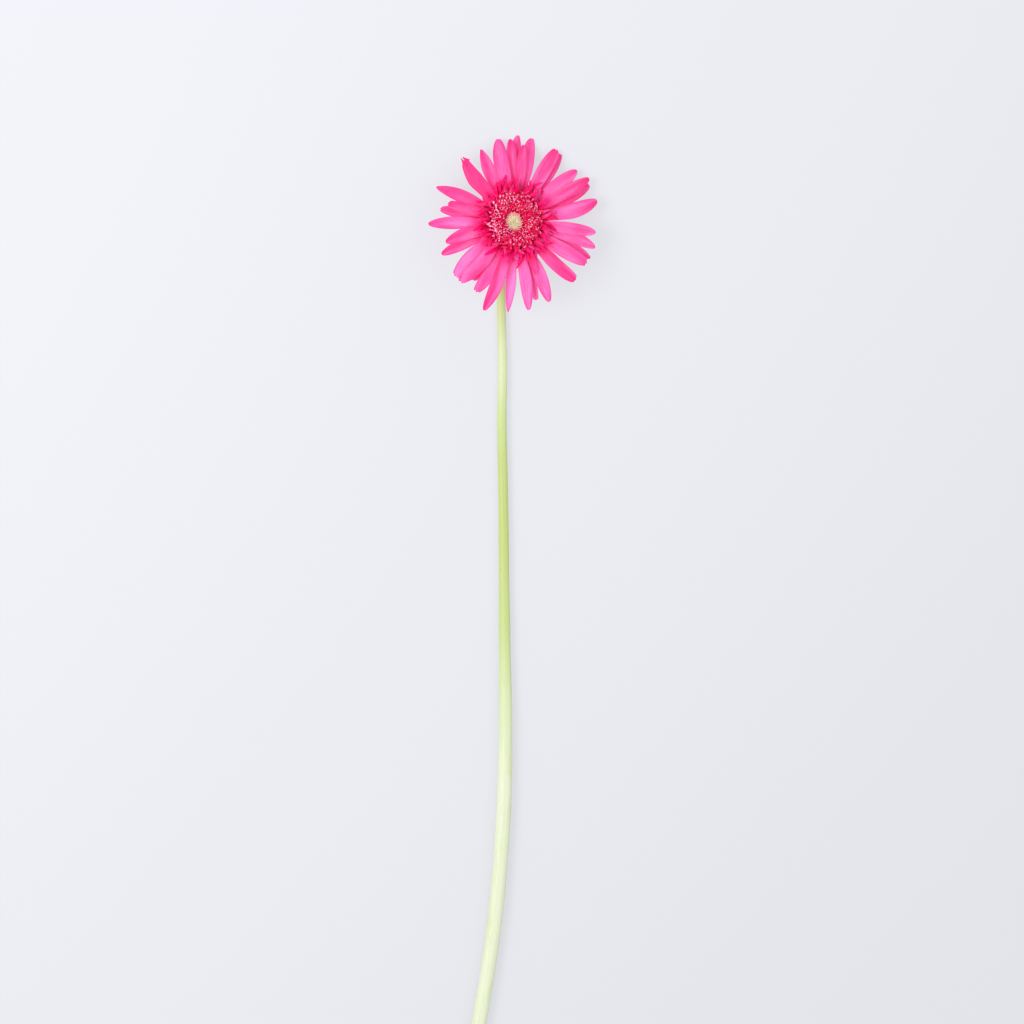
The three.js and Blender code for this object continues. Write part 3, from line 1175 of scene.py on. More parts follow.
RAY_PLANS = (
    RayPlan(50, 51, 43.5, 5.4, LOW, ROUNDED, 0.15, 0.3),
    RayPlan(56, 55, 42.4, 6.8, TOP, TOOTHED, 0.2, 0.2, root_turn=3.0),
    RayPlan(73, 72.5, 43.5, 6.8, MIDDLE, ROUNDED, 0.15, 0.2, 0.0, 6, -3.0),
    RayPlan(78, 77.5, 37.8, 5.2, TOP, ROUNDED, 0.4, 0.3),
    RayPlan(82.5, 81.5, 45, 5.4, LOW, ROUNDED, 0.35, 0.2),
    RayPlan(87, 86.5, 41, 5.4, MIDDLE, ROUNDED, 0.35, 0.4),
    RayPlan(98, 95, 40.5, 7.5, TOP, ROUNDED, 0.28, 0.3),
    RayPlan(111.5, 108.5, 38, 6.4, MIDDLE, POINTED, 0.3, 0.2, 0.3),
    RayPlan(130, 124, 38.5, 7.9, TOP, PINCHED, 0.75, 0.9, 0.3, 8, 3.0),
    RayPlan(150.5, 151.5, 39.5, 6.5, MIDDLE, POINTED, 0.45, 0.3, 0.3, 0, -5.0),
    RayPlan(163, 161.5, 32, 5.2, TOP, TOOTHED, 0.65, 0.2),
    RayPlan(167, 166, 35.3, 5.2, LOW, TOOTHED, 0.5, 0.2),
    RayPlan(178, 177.5, 39.9, 6.1, MIDDLE, ROUNDED, 0.05, 0.1),
    RayPlan(191.5, 193.8, 33.5, 6.1, TOP, ROUNDED, 0.45, 0.2),
    RayPlan(200, 200.5, 37.4, 5.6, LOW, ROUNDED, 0.45, 0.2),
    RayPlan(215.5, 219, 38, 6.6, MIDDLE, TOOTHED, 0.0, 0.2),
    RayPlan(227, 224.2, 38, 7, TOP, TOOTHED, 0.25, 0.2),
    RayPlan(233.5, 230.5, 34, 5.6, LOW, TOOTHED, 0.25, 0.2),
    RayPlan(241, 237.8, 37.5, 6.3, MIDDLE, TOOTHED, 0.1, 0.2),
    RayPlan(250.5, 247.5, 43, 6.3, TOP, ROUNDED, 0.45, 0.8, 0.0, -8),
    RayPlan(263, 263, 41.8, 5.0, MIDDLE, POINTED, -0.25, 0.4, root_turn=-4.5),
    RayPlan(277, 276.5, 41, 6.0, TOP, ROUNDED, -0.15, 0.2, root_turn=4.5),
    RayPlan(283, 284, 38.2, 4.7, LOW, TOOTHED, -0.1, 0.2),
    RayPlan(292.5, 292, 40.5, 6.6, MIDDLE, ROUNDED, -0.05, 0.2),
    RayPlan(312, 315.5, 40, 6.6, MIDDLE, BLUNT, 0.38, 0.1),
    RayPlan(327.5, 329.5, 39.5, 7, TOP, TOOTHED, -0.05, 0.2),
    RayPlan(336, 335, 41.3, 5.2, LOW, ROUNDED, 0.05, 0.2),
    RayPlan(344.5, 342.5, 41.4, 6.1, MIDDLE, ROUNDED, -0.15, 0.2),
    RayPlan(351, 352, 39.8, 6.1, TOP, ROUNDED, -0.1, 0.1),
    RayPlan(369, 373.4, 43.8, 7.5, MIDDLE, ROUNDED, 0.03, 0.1),
    RayPlan(383, 384.5, 44.2, 7.0, LOW, ROUNDED, 0.4, 0.2),
    RayPlan(387, 387.8, 43.8, 6.1, TOP, ROUNDED, 0.32, 0.4),
    RayPlan(397, 396.5, 41.9, 6.8, MIDDLE, ROUNDED, 0.0, 0.2),
)


@dataclass
class RayWhorl:
    """The whorl of long ray florets, one piece each."""

    place: HeadPlace
    plans: tuple[RayPlan, ...] = RAY_PLANS
    arch: Arch = Arch(((8.4, 5.0), (8.8, 11.2), (22.0, 15.8), (46.0, 4.2)))
    first_root: float = 45.0
    root_bias: float = 0.5
    tone: Play = (-0.03, 0.03)
    twist: Play = (-2, 2)
    cup: Play = (0.15, 0.4)
    flute: Play = (0.06, 0.1)
    ripple: Play = (0.1, 0.3)
    rows: int = 46
    columns: int = 17
    seed: int = 11

    def blade(self, order: int, chance: random.Random) -> Blade:
        """One floret's shape.

        Args:
            order: its place in the whorl.
            chance: the source of small differences.

        Returns:
            The blade.
        """
        plan = self.plans[order]
        even = self.first_root + FULL_TURN * order / len(self.plans)
        return Blade(
            arch=self.arch, root=even + (plan.heading - even) * self.root_bias + plan.root_turn,
            heading=plan.heading, tip=plan.tip, reach=plan.reach, width=plan.width,
            offset=plan.layer.value, tip_form=plan.form, fold=plan.fold, lift=plan.lift,
            twist=plan.twist + chance.uniform(*self.twist),
            cup=chance.uniform(*self.cup), flute=chance.uniform(*self.flute),
            ripple=chance.uniform(*self.ripple), phase=chance.random(),
        )

    def build(self) -> list[bpy.types.Object]:
        """Makes the florets.

        Returns:
            The pieces.
        """
        chance = random.Random(self.seed)
        material = PetalFinish().build()
        made = []
        for order, plan in enumerate(self.plans):
            draft = Draft()
            tone = plan.tone + chance.uniform(*self.tone)
            shape = self.blade(order, chance)
            shape.draft(draft, self.place, self.rows, self.columns, rests=True, tone=tone)
            piece = draft.build(f"ray_petal_{order + 1:02d}", [material])
            made.append(place_piece(piece, [f"ray_floret_{order + 1:02d}"]))
        return made


@dataclass(frozen=True)
class InnerRow:
    """One row of the short inner ray florets."""

    name: str
    count: int
    arch: Arch
    reach: float
    spread: float
    width: float
    turn: float


@dataclass
class InnerRays:
    """The collar of short inner ray florets: three dense rows, and a long stray over the whorl."""

    place: HeadPlace
    rows: tuple[InnerRow, ...] = (
        InnerRow("outer", 54, Arch(((8.2, 5.0), (9.4, 11.6), (14.0, 13.8), (23.0, 11.8))),
                 20.2, 2.2, 2.2, 4.0),
        InnerRow("middle", 54, Arch(((7.8, 5.0), (9.4, 12.2), (13.8, 14.6), (21.0, 14.4))),
                 18.4, 1.8, 1.7, 9.0),
        InnerRow("inner", 54, Arch(((7.4, 5.0), (9.4, 12.8), (13.4, 15.4), (19.0, 16.8))),
                 16.6, 1.5, 1.4, 0.0),
    )
    stray: InnerRow = InnerRow("stray", 1, Arch(((7.2, 5.0), (8.4, 13.0), (17.0, 15.4), (30.0, 11.6))),
                               27.0, 0.0, 3.8, -70.0)
    # the stray's high tone gives it the painted highlight
    stray_tone: float = 0.9
    sideways_reach: float = 0.7
    oval_reach: float = 0.8
    shift: Play = (-4.5, 4.5)
    bend: Play = (-14, 14)
    widening: Play = (0.75, 1.2)
    cup: Play = (0.2, 0.7)
    fold: Play = (0.0, 0.4)
    lift: Play = (-0.8, 2.2)
    twist: Play = (-50, 50)
    ripple: Play = (0.0, 0.3)
    stations: int = 20
    columns: int = 7
    seed: int = 5

    def strap(self, row: InnerRow, order: int, chance: random.Random) -> Blade:
        """One floret's shape.

        Args:
            row: its row.
            order: its place in the row.
            chance: the source of small differences.

        Returns:
            The blade.
        """
        azimuth = row.turn + FULL_TURN * order / row.count + chance.uniform(*self.shift)
        turn = math.radians(azimuth)
        uneven = self.sideways_reach * math.cos(turn) - self.oval_reach * math.cos(2 * turn)
        return Blade(
            arch=row.arch, root=azimuth, heading=azimuth, tip=azimuth + chance.uniform(*self.bend),
            reach=row.reach + uneven + chance.uniform(-1, 1) * row.spread,
            width=row.width * chance.uniform(*self.widening), tip_form=chance.choice((POINTED, ROUNDED)),
            waist=0.6, fullest=0.7, cup=chance.uniform(*self.cup), fold=chance.uniform(*self.fold),
            lift=chance.uniform(*self.lift), twist=chance.uniform(*self.twist), flute=0.03,
            ripple=chance.uniform(*self.ripple), phase=chance.random(), thickness=0.22,
        )

    def build(self) -> list[bpy.types.Object]:
        """Makes the florets, one piece to a row.

        Returns:
            The pieces.
        """
        chance = random.Random(self.seed)
        material = InnerRayFinish().build()
        made = []
        for row in self.rows:
            draft = Draft()
            for order in range(row.count):
                shape = self.strap(row, order, chance)
                shape.draft(draft, self.place, self.stations, self.columns, tone=chance.random())
            made.append(draft.build(f"inner_rays_{row.name}", [material]))
        draft = Draft()
        stray, turn = self.stray, self.stray.turn
        shape = Blade(stray.arch, root=turn, heading=turn, tip=turn - 2.0, reach=stray.reach,
                      width=stray.width, cup=0.5, fold=0.4, tip_form=POINTED, waist=0.5)
        shape.draft(draft, self.place, 2 * self.stations, 2 * self.columns + 1, tone=self.stray_tone)
        made.append(draft.build("inner_ray_stray", [material]))
        return [place_piece(piece, ["inner_ray_collar"]) for piece in made]


# ------------------------------------------------ the disc


@dataclass(frozen=True)
class LipSize:
    """One lobe of a disc floret: its length, its width and the radius of its curl."""

    length: float
    width: float
    curl: float

    def grown(self, scale: float) -> "LipSize":
        """The lobe at another scale."""
        return LipSize(self.length * scale, self.width * scale, self.curl * scale)


@dataclass(frozen=True)
class FloretSize:
    """The sizes of one open disc floret, and how it is cut into stations and sides."""

    tube_foot: float = 0.34
    tube_waist: float = 0.68
    tube_mouth: float = 0.60
    waist_place: float = 0.66
    tube_stations: int = 8
    tube_sides: int = 8
    outer_lip: LipSize = LipSize(2.9, 0.54, 1.0)
    inner_lip: LipSize = LipSize(1.4, 0.32, 0.36)
    lip_thickness: float = 0.14
    lip_sunk: float = 0.15
    lip_inset: float = 0.8
    lip_tightening: float = 0.35
    lip_fullness: tuple[float, float] = (0.55, 0.6)  # at least, and more in its belly
    lip_belly: tuple[float, float] = (0.15, 0.9)  # the part of a half wave that it follows
    lip_blunting: float = 0.6
    lip_hollow: float = 0.22
    lip_stations: int = 9
    lip_columns: int = 5
    column_radius: float = 0.19
    column_height: float = 0.7
    column_sunk: float = 0.3
    column_swell: tuple[float, ...] = (1.0, 1.0, 1.15, 1.1, 0.5)
    column_sides: int = 6


@dataclass
class DiscFlorets:
    """The open disc florets, spaced as seeds in a spiral and gathered into rings."""

    place: HeadPlace
    inner_radius: float = 4.3
    outer_radius: float = 12.1
    oval: float = 1.12
    count: int = 190
    ring_names: tuple[str, ...] = ("inmost", "inner", "middle", "outer", "outmost")
    foot_height: float = 5.0
    foot_share: float = 0.40
    bend_share: float = 0.62
    crown: Outline = ((4.2, 14.5), (5.4, 15.9), (7.2, 16.9), (9.4, 17.2), (11.0, 17.0), (14.0, 16.2))
    mouth_drop: float = 0.9
    mouth_inset: float = 0.2
    youngest_growth: float = 0.72
    full_radius: float = 8.5
    rim_radius: float = 9.5
    rim_growth: float = 0.2
    ripe_side: float = 20.0
    ripe_radius: float = 8.0
    ripe_share: float = 0.25
    ripe_tone: float = 0.3
    radius_play: Play = (-0.15, 0.15)
    azimuth_play: Play = (-2, 2)
    height_play: Play = (-0.35, 0.35)
    sway: Play = (-75, 75)
    scale_play: Play = (0.75, 1.2)
    inner_lip_spread: Play = (22, 50)
    column_play: Play = (0.5, 1.2)
    size: FloretSize = FloretSize()
    seed: int = 23

    def spots(self) -> list[tuple[float, float]]:
        """Where the florets open, as (radius, azimuth), from the middle out."""
        low, high = self.inner_radius**2, self.outer_radius**2
        radii = [math.sqrt(low + (high - low) * (order + 0.5) / self.count) for order in range(self.count)]
        return [oval_spot(radius, order * GOLDEN_ANGLE, self.oval) for order, radius in enumerate(radii)]

    def course(self, radius: float, azimuth: float, top: float) -> np.ndarray:
        """The middle line of a floret's tube.

        Args:
            radius: the radius of its mouth.
            azimuth: its azimuth.
            top: the height of its mouth.

        Returns:
            Points from its foot on the receptacle to its mouth.
        """
        share = np.linspace(0.0, 1.0, self.size.tube_stations)[:, None]
        foot = np.array([radius * self.foot_share, self.foot_height])
        rise = (top - self.foot_height) * self.bend_share
        bend = np.array([radius * self.bend_share, self.foot_height + rise])
        mouth = np.array([radius, top])
        line = foot * (1 - share) ** 2 + bend * 2 * share * (1 - share) + mouth * share**2
        return around_axis(line[:, 0], np.full(len(share), azimuth), line[:, 1])

    @staticmethod
    def mouth_frame(course: np.ndarray, azimuth: float) -> tuple[np.ndarray, np.ndarray, np.ndarray]:
        """The mouth's outward, sideways and upward directions.

        Args:
            course: the tube's middle line.
            azimuth: its azimuth.

        Returns:
            The three directions.
        """
        up = unit(course[-1] - course[-2])
        sideways = around_axis(np.array(1.0), np.array(azimuth + QUARTER_TURN), np.array(0.0))
        return unit(np.cross(sideways, up)), sideways, up

    @staticmethod
    def tube(course: np.ndarray, radii: np.ndarray, sides: int) -> np.ndarray:
        """Rings of points round a line.

        Args:
            course: the line.
            radii: the radius at each of its points.
            sides: points to a ring.

        Returns:
            The rings, as (ring, point, xyz).
        """
        tangent = unit(np.gradient(course, axis=0))
        sideways = unit(np.cross(tangent, NEARLY_UP))
        across = np.cross(tangent, sideways)
        angle = ring_angles(sides)[None, :, None]
        spokes = np.cos(angle) * sideways[:, None] + np.sin(angle) * across[:, None]
        return course[:, None] - spokes * radii[:, None, None]

    def lip(self, draft: Draft, mouth: np.ndarray, frame: tuple[np.ndarray, ...], spin: float,
            lobe: LipSize, rim: float, tone: float) -> None:
        """Adds one lobe that rises from the mouth's rim and curls back, tighter towards its end.

        Args:
            draft: the draft.
            mouth: the mouth's middle.
            frame: the mouth's directions.
            spin: where on the rim it stands, in degrees from outward.
            lobe: its size.
            rim: the mouth's radius.
            tone: its tone.
        """
        size = self.size
        outward, sideways, up = frame
        turn = math.radians(spin)
        away = outward * math.cos(turn) + sideways * math.sin(turn)
        beside = sideways * math.cos(turn) - outward * math.sin(turn)
        share = np.linspace(0.0, 1.0, size.lip_stations)
        angle = share * lobe.length / lobe.curl
        radius = lobe.curl * (1.0 - size.lip_tightening * share)
        line = (mouth + away * (rim + lobe.curl - radius * np.cos(angle))[:, None]
                + up * (radius * np.sin(angle) - size.lip_sunk)[:, None])
        normal = (-away * np.cos(angle)[:, None] + up * np.sin(angle)[:, None])[:, None]
        least, more = size.lip_fullness
        fullness = least + more * np.sin(math.pi * np.interp(share, [0, 1], size.lip_belly))
        half = lobe.width / 2 * fullness * (1 - size.lip_blunting * share**4)
        across = np.linspace(-1.0, 1.0, size.lip_columns)[None, :, None]
        hollow = size.lip_hollow * lobe.width * across**2
        middle = line[:, None] + beside * across * half[:, None, None] + normal * hollow
        skin = normal * (size.lip_thickness / 2)
        rings = np.concatenate([middle + skin, (middle - skin)[:, ::-1]], axis=1)
        draft.add_rings(self.place.to_flower(rings), 1, along=share[:, None], tone=tone)

    def growth(self, radius: float) -> float:
        """How large a floret is: less towards the buds, more at the rim."""
        grown = float(smooth(radius, self.inner_radius, self.full_radius))
        outmost = float(smooth(radius, self.rim_radius, self.outer_radius))
        return self.youngest_growth + (1.0 - self.youngest_growth) * grown + self.rim_growth * outmost

    def floret(self, draft: Draft, radius: float, azimuth: float, chance: random.Random) -> None:
        """Adds one open floret: its tube, its lips and its pollen column.

        Args:
            draft: the draft.
            radius: the radius where it opens.
            azimuth: the azimuth where it opens.
            chance: the source of small differences.
        """
        size, growth = self.size, self.growth(radius)
        radii, heights = np.array(self.crown).T
        top = float(np.interp(radius, radii, heights)) - self.mouth_drop + chance.uniform(*self.height_play)
        course = self.course(radius - self.mouth_inset, azimuth, top)
        rim = size.tube_mouth * growth
        share = np.linspace(0, 1, size.tube_stations)
        widths = np.interp(share, [0, size.waist_place, 1], [size.tube_foot, size.tube_waist, rim])
        ripe = 0.5 + 0.5 * math.cos(math.radians(azimuth - self.ripe_side))
        tone = (1.0 - self.ripe_share) * chance.random() + self.ripe_share * ripe
        draft.add_rings(self.place.to_flower(self.tube(course, widths, size.tube_sides)), 0,
                        along=share[:, None], tone=tone)
        mouth, frame = course[-1], self.mouth_frame(course, azimuth)
        sway = chance.uniform(*self.sway)
        scale = growth * chance.uniform(*self.scale_play)
        self.lip(draft, mouth, frame, sway, size.outer_lip.grown(scale), rim * size.lip_inset, tone)
        for side in (-1, 1):
            spin = sway + HALF_TURN + side * chance.uniform(*self.inner_lip_spread)
            self.lip(draft, mouth, frame, spin, size.inner_lip.grown(scale), rim * size.lip_inset, tone)
        swell = size.column_radius * growth * np.array(size.column_swell)
        share = np.linspace(0.0, 1.0, len(swell))
        rise = size.column_height * growth * chance.uniform(*self.column_play)
        line = mouth + frame[2] * (rise * share - size.column_sunk)[:, None]
        amber = ripe * (radius < self.ripe_radius) > chance.random()
        draft.add_rings(self.place.to_flower(self.tube(line, swell, size.column_sides)), 2,
                        along=share[:, None], tone=chance.random() * self.ripe_tone if amber else 1.0)

    def build(self) -> list[bpy.types.Object]:
        """Makes the rings of florets.

        Returns:
            The pieces.
        """
        chance = random.Random(self.seed)
        materials = [CorollaFinish().build(), LobeFinish().build(), AntherFinish().build()]
        spots = self.spots()
        share = len(spots) / len(self.ring_names)
        made = []
        for order, name in enumerate(self.ring_names):
            draft = Draft()
            for radius, azimuth in spots[round(order * share):round((order + 1) * share)]:
                self.floret(draft, radius + chance.uniform(*self.radius_play),
                            azimuth + chance.uniform(*self.azimuth_play), chance)
            piece = draft.build(f"disc_florets_{name}", materials)
            made.append(place_piece(piece, ["disc_floret_ring"]))
        return made


@dataclass
class DiscBuds:
    """The closed buds in the middle of the disc."""

    place: HeadPlace
    count: int = 128
    radius: float = 4.1
    oval: float = 1.27
    aside: tuple[float, float, float] = (-0.4, -0.6, 0.0)
    foot_height: float = 5.2
    foot_share: float = 0.5
    top_height: float = 15.6
    edge_drop: float = 1.5
    bud_radius: float = 0.28
    bud_sides: int = 7
    profile: Outline = (
        (0.0, 0.5), (0.60, 0.9), (0.86, 1.1), (0.93, 1.15), (0.97, 0.95), (0.992, 0.6), (1.0, 0.15))
    growth: tuple[float, float] = (0.85, 0.35)  # in the middle, and more at the edge
    height_play: Play = (-0.25, 0.25)
    girth_play: Play = (0.85, 1.1)
    flush_start: float = 0.35
    flush_play: Play = (0.5, 1.2)
    blush: Play = (0.0, 0.25)
    seed: int = 31

    def build(self) -> list[bpy.types.Object]:
        """Makes the buds as one cluster.

        Returns:
            The piece.
        """
        chance = random.Random(self.seed)
        draft = Draft()
        heights, widths = np.array(self.profile).T
        angle = ring_angles(self.bud_sides)
        spokes = np.stack([np.cos(angle), np.sin(angle), 0 * angle], axis=-1)
        smallest, more = self.growth
        for order in range(self.count):
            share = math.sqrt((order + 0.5) / self.count)
            radius, azimuth = oval_spot(self.radius * share, order * GOLDEN_ANGLE, self.oval)
            top = self.top_height - self.edge_drop * share**2 + chance.uniform(*self.height_play)
            girth = self.bud_radius * (smallest + more * share) * chance.uniform(*self.girth_play)
            level = self.foot_height + (top - self.foot_height) * heights
            out = radius * (self.foot_share + (1.0 - self.foot_share) * heights)
            middle = around_axis(out, np.full(len(heights), azimuth), level)
            middle = middle + np.array(self.aside)
            rings = middle[:, None] + spokes[None] * (widths * girth)[:, None, None]
            flush = float(smooth(share, self.flush_start, 1.0)) * chance.uniform(*self.flush_play)
            flush += chance.uniform(*self.blush)
            draft.add_rings(self.place.to_flower(rings[:, ::-1]), 0, along=heights[:, None], tone=flush)
        piece = draft.build("disc_bud_cluster", [BudFinish().build()])
        return [place_piece(piece, ["disc_buds"])]


# ------------------------------------------------ under the head


@dataclass(frozen=True)
class BractRow:
    """One row of bracts; its nodes are those of the same name, if it has any."""

    name: str
    arch: Arch
    width: float
    turn: float
    has_nodes: bool = True


@dataclass
class BractCup:
    """The green cup of bracts, one piece each."""

    place: HeadPlace
    rows: tuple[BractRow, ...] = (
        BractRow("inner", Arch(((7.4, 2.0), (11.2, 3.4), (11.0, 6.6), (15.2, 8.2))), 4.6, 0.0),
        BractRow("outer", Arch(((5.0, 0.45), (11.0, 1.1), (12.6, 4.0), (15.0, 6.2))), 4.2, 18.0),
        BractRow("basal", Arch(((3.4, 0.0), (7.6, -0.6), (10.6, 0.6), (12.6, 3.0))), 3.2, 8.0, False),
    )
    per_row: int = 10
    shift: Play = (-2, 2)
    bend: Play = (-3, 3)
    shortening: Play = (0.0, 0.8)
    widening: Play = (0.9, 1.1)
    fold: Play = (0.0, 0.15)
    lift: Play = (-0.5, 0.1)
    stations: int = 26
    columns: int = 9
    seed: int = 3

    def build(self) -> list[bpy.types.Object]:
        """Makes the bracts.

        Returns:
            The pieces.
        """
        chance = random.Random(self.seed)
        material = BractFinish().build()
        made = []
        for row in self.rows:
            for order in range(self.per_row):
                azimuth = row.turn + FULL_TURN * order / self.per_row + chance.uniform(*self.shift)
                shape = Blade(
                    arch=row.arch, root=azimuth, heading=azimuth, tip=azimuth + chance.uniform(*self.bend),
                    reach=row.arch.controls[-1][0] - chance.uniform(*self.shortening),
                    width=row.width * chance.uniform(*self.widening), tip_form=POINTED, waist=0.9,
                    fullest=0.3, cup=-0.35, fold=-chance.uniform(*self.fold), flute=0.03,
                    lift=chance.uniform(*self.lift), thickness=0.45,
                )
                draft = Draft()
                shape.draft(draft, self.place, self.stations, self.columns, tone=chance.random())
                piece = draft.build(f"{row.name}_bract_{order + 1:02d}", [material])
                nodes = [f"bract_{row.name}_{order + 1:02d}"] if row.has_nodes else []
                made.append(place_piece(piece, nodes))
        return made


HEAD_LEAN = (4.0, 22.0)
RECEPTACLE_DISH = ((0.0, 0.0), (2.5, 0.0), (4.6, 1.0), (7.0, 2.65), (8.9, 3.7), (10.2, 4.7), (0.0, 4.7))


@dataclass
class Receptacle:
    """The dish that carries the florets, softly ribbed under its rim."""

    place: HeadPlace
    outline: Outline = RECEPTACLE_DISH
    crown: Outline = ((9.6, 4.85), (6.0, 4.95), (2.0, 5.0))
    flank_stations: int = 24
    sides: int = 90
    ribs: int = 15
    rib_depth: float = 0.12
    rib_run: tuple[float, float] = (3.0, 8.0)

    def build(self) -> list[bpy.types.Object]:
        """Makes the dish.

        Returns:
            The piece.
        """
        flank = np.array(self.outline[1:-1])
        steps = np.linspace(0, len(flank) - 1, self.flank_stations)
        radius, height = (np.append(np.interp(steps, range(len(flank)), places), over)[:, None]
                          for places, over in zip(flank.T, np.array(self.crown).T))
        azimuth = np.degrees(ring_angles(self.sides))[None, :]
        rib = self.rib_depth * np.cos(np.radians(azimuth * self.ribs)) * smooth(radius, *self.rib_run)
        rings = around_axis(radius + rib, azimuth + 0 * radius, height)
        draft = Draft()
        draft.add_rings(self.place.to_flower(rings[:, ::-1]))
        piece = draft.build("receptacle_dish", [ReceptacleFinish().build()])
        return [place_piece(piece, ["receptacle"])]


# ------------------------------------------------ the stem


@dataclass
class Stem:
    """The stalk: it lies along the table, bends up at the neck and ends in a plain cut."""

    place: HeadPlace
    neck_radius: float = 13.0
    neck_steps: int = 9
    knot_steps: int = 24
    course: Outline = (
        (-19.8, -440), (-16.2, -420), (-11.4, -391), (-7.0, -360), (-3.6, -326), (-1.5, -294), (-0.5, -265),
        (-0.3, -235), (-0.6, -200), (-0.9, -160), (-1.1, -130), (-1.5, -105), (-1.8, -84), (-1.4, -55),
        (-2.0, -30), (-2.0, -14), (-1.0, -5))
    girth: Outline = (
        (0, 4.3), (40, 4.5), (110, 5.0), (165, 5.4), (200, 6.1), (245, 7.2), (290, 7.9), (440, 8.2))
    sides: int = 40
    steps: int = 420
    crowding: float = 1.15  # how much the stations crowd towards the head; 1 is not at all
    ridges: tuple[tuple[int, float, float], ...] = (  # how many, how deep, where the first is
        (5, 0.07, 0.0), (9, 0.035, 1.1), (16, 0.02, 2.3))
    ridge_turn: float = 0.004
    flare: float = 0.5
    flare_run: tuple[float, float] = (6.0, 0.5)
    end_rings: Outline = (  # share of the radius, millimetres out of the end
        (1.0, 0.0), (0.94, 0.03), (0.8, -0.0125), (0.6, -0.04), (0.35, -0.055), (0.12, -0.0625))

    def diameter(self, down: np.ndarray) -> np.ndarray:
        """The stalk's diameter.

        Args:
            down: distances from the neck's foot.

        Returns:
            The diameter at each.
        """
        places, sizes = np.array(self.girth).T
        fitted = np.full(np.shape(down), sizes[0])
        for first, second, start, end in zip(places, places[1:], sizes, sizes[1:]):
            fitted = fitted + (end - start) * smooth(down, first, second)
        return fitted

    def neck(self) -> tuple[np.ndarray, np.ndarray]:
        """Bends the neck up from the table.

        Returns:
            The neck's foot, and points of its arc up to the head.
        """
        along = np.array([0.0, 1.0, 0.0])
        axis = self.place.axes[2]
        turn = math.acos(float(axis @ along))
        up = unit(axis - along * float(axis @ along))

        def rise(angle: np.ndarray) -> np.ndarray:
            """The arc from its foot, at angles turned through."""
            return (np.sin(angle)[:, None] * along + (1 - np.cos(angle))[:, None] * up) * self.neck_radius

        foot = self.place.origin - rise(np.array([turn]))[0]
        return foot, foot + rise(np.linspace(0.0, turn, self.neck_steps))

    def line(self) -> np.ndarray:
        """Runs the stalk's middle line along the table and up the neck.

        Returns:
            Its points from the cut end to the head, closer together towards the head.
        """
        foot, arc = self.neck()
        lying = [(foot[0] + x, foot[1] + y, self.diameter(np.array(-y)) / 2) for x, y in self.course]
        knots = [Vector(point) for point in (*lying, *arc)]
        points = catmull_rom(knots, self.knot_steps)
        length = np.concatenate([[0.0], np.cumsum(np.linalg.norm(np.diff(points, axis=0), axis=1))])
        share = 1.0 - (1.0 - np.linspace(0.0, 1.0, self.steps)) ** self.crowding
        even = share * length[-1]
        return np.stack([np.interp(even, length, points[:, axis]) for axis in range(3)], axis=1)

    def build(self) -> list[bpy.types.Object]:
        """Makes the stalk.

        Returns:
            The piece.
        """
        line = self.line()
        foot, _ = self.neck()
        tangent = unit(np.gradient(line, axis=0))
        side = unit(np.cross(tangent, [-1.0, 0.0, 0.0]))
        across = np.cross(side, tangent)
        radius = self.diameter(np.maximum(foot[1] - line[:, 1], 0.0)) / 2
        lying = line[:, 1] < foot[1]
        line[lying, 2] = radius[lying]
        spacing = np.linalg.norm(np.diff(line, axis=0), axis=1)
        down = np.concatenate([np.cumsum(spacing[::-1])[::-1], [0.0]])
        angle = ring_angles(self.sides)[None, :]
        wave = sum(depth * np.cos(count * angle + phase + self.ridge_turn * down[:, None]) - depth
                   for count, depth, phase in self.ridges)
        swell = self.flare * smooth(down, *self.flare_run)[:, None]
        girth = radius[:, None] + wave + swell
        rings = (line[:, None] + across[:, None] * (girth * np.cos(angle))[..., None]
                 + side[:, None] * (girth * np.sin(angle))[..., None])
        draft = Draft()
        faces = grid_faces(self.steps, self.sides, closed=True)
        draft.add(rings.reshape(-1, 3), faces, 0, across=1.0, down=np.repeat(down, self.sides),
                  around=np.tile(np.degrees(angle[0]), self.steps))
        self.close_end(draft, rings[0], line[0], -tangent[0], float(down[0]), flip=True)
        self.close_end(draft, rings[-1], line[-1], tangent[-1], 0.0, flip=False)
        piece = draft.build("stalk", [StemFinish().build(), CutFinish().build()])
        weld(piece)
        return [place_piece(piece, ["stem"])]

    def close_end(self, draft: Draft, ring: np.ndarray, middle: np.ndarray, out: np.ndarray, down: float,
                  flip: bool) -> None:
        """Closes one end with a slightly hollow face.

        Args:
            draft: the draft.
            ring: the end's ring of points.
            middle: its middle.
            out: the way out of the end.
            down: the end's distance from the head.
            flip: whether the ring runs the other way round.
        """
        rings = np.stack([middle + (ring - middle) * share + out * rise for share, rise in self.end_rings])
        count, sides = rings.shape[:2]
        points = np.concatenate([rings.reshape(-1, 3), [rings[-1].mean(axis=0)]])
        faces = [list(face) for face in grid_faces(count, sides, closed=True)]
        last = (count - 1) * sides
        faces += [[last + (side + 1) % sides, last + side, count * sides] for side in range(sides)]
        if flip:
            faces = [face[::-1] for face in faces]
        out_share = np.append(np.repeat([share for share, _ in self.end_rings], sides), 0.0)
        draft.add(points, faces, 1, down=down, around=0.0, across=out_share)


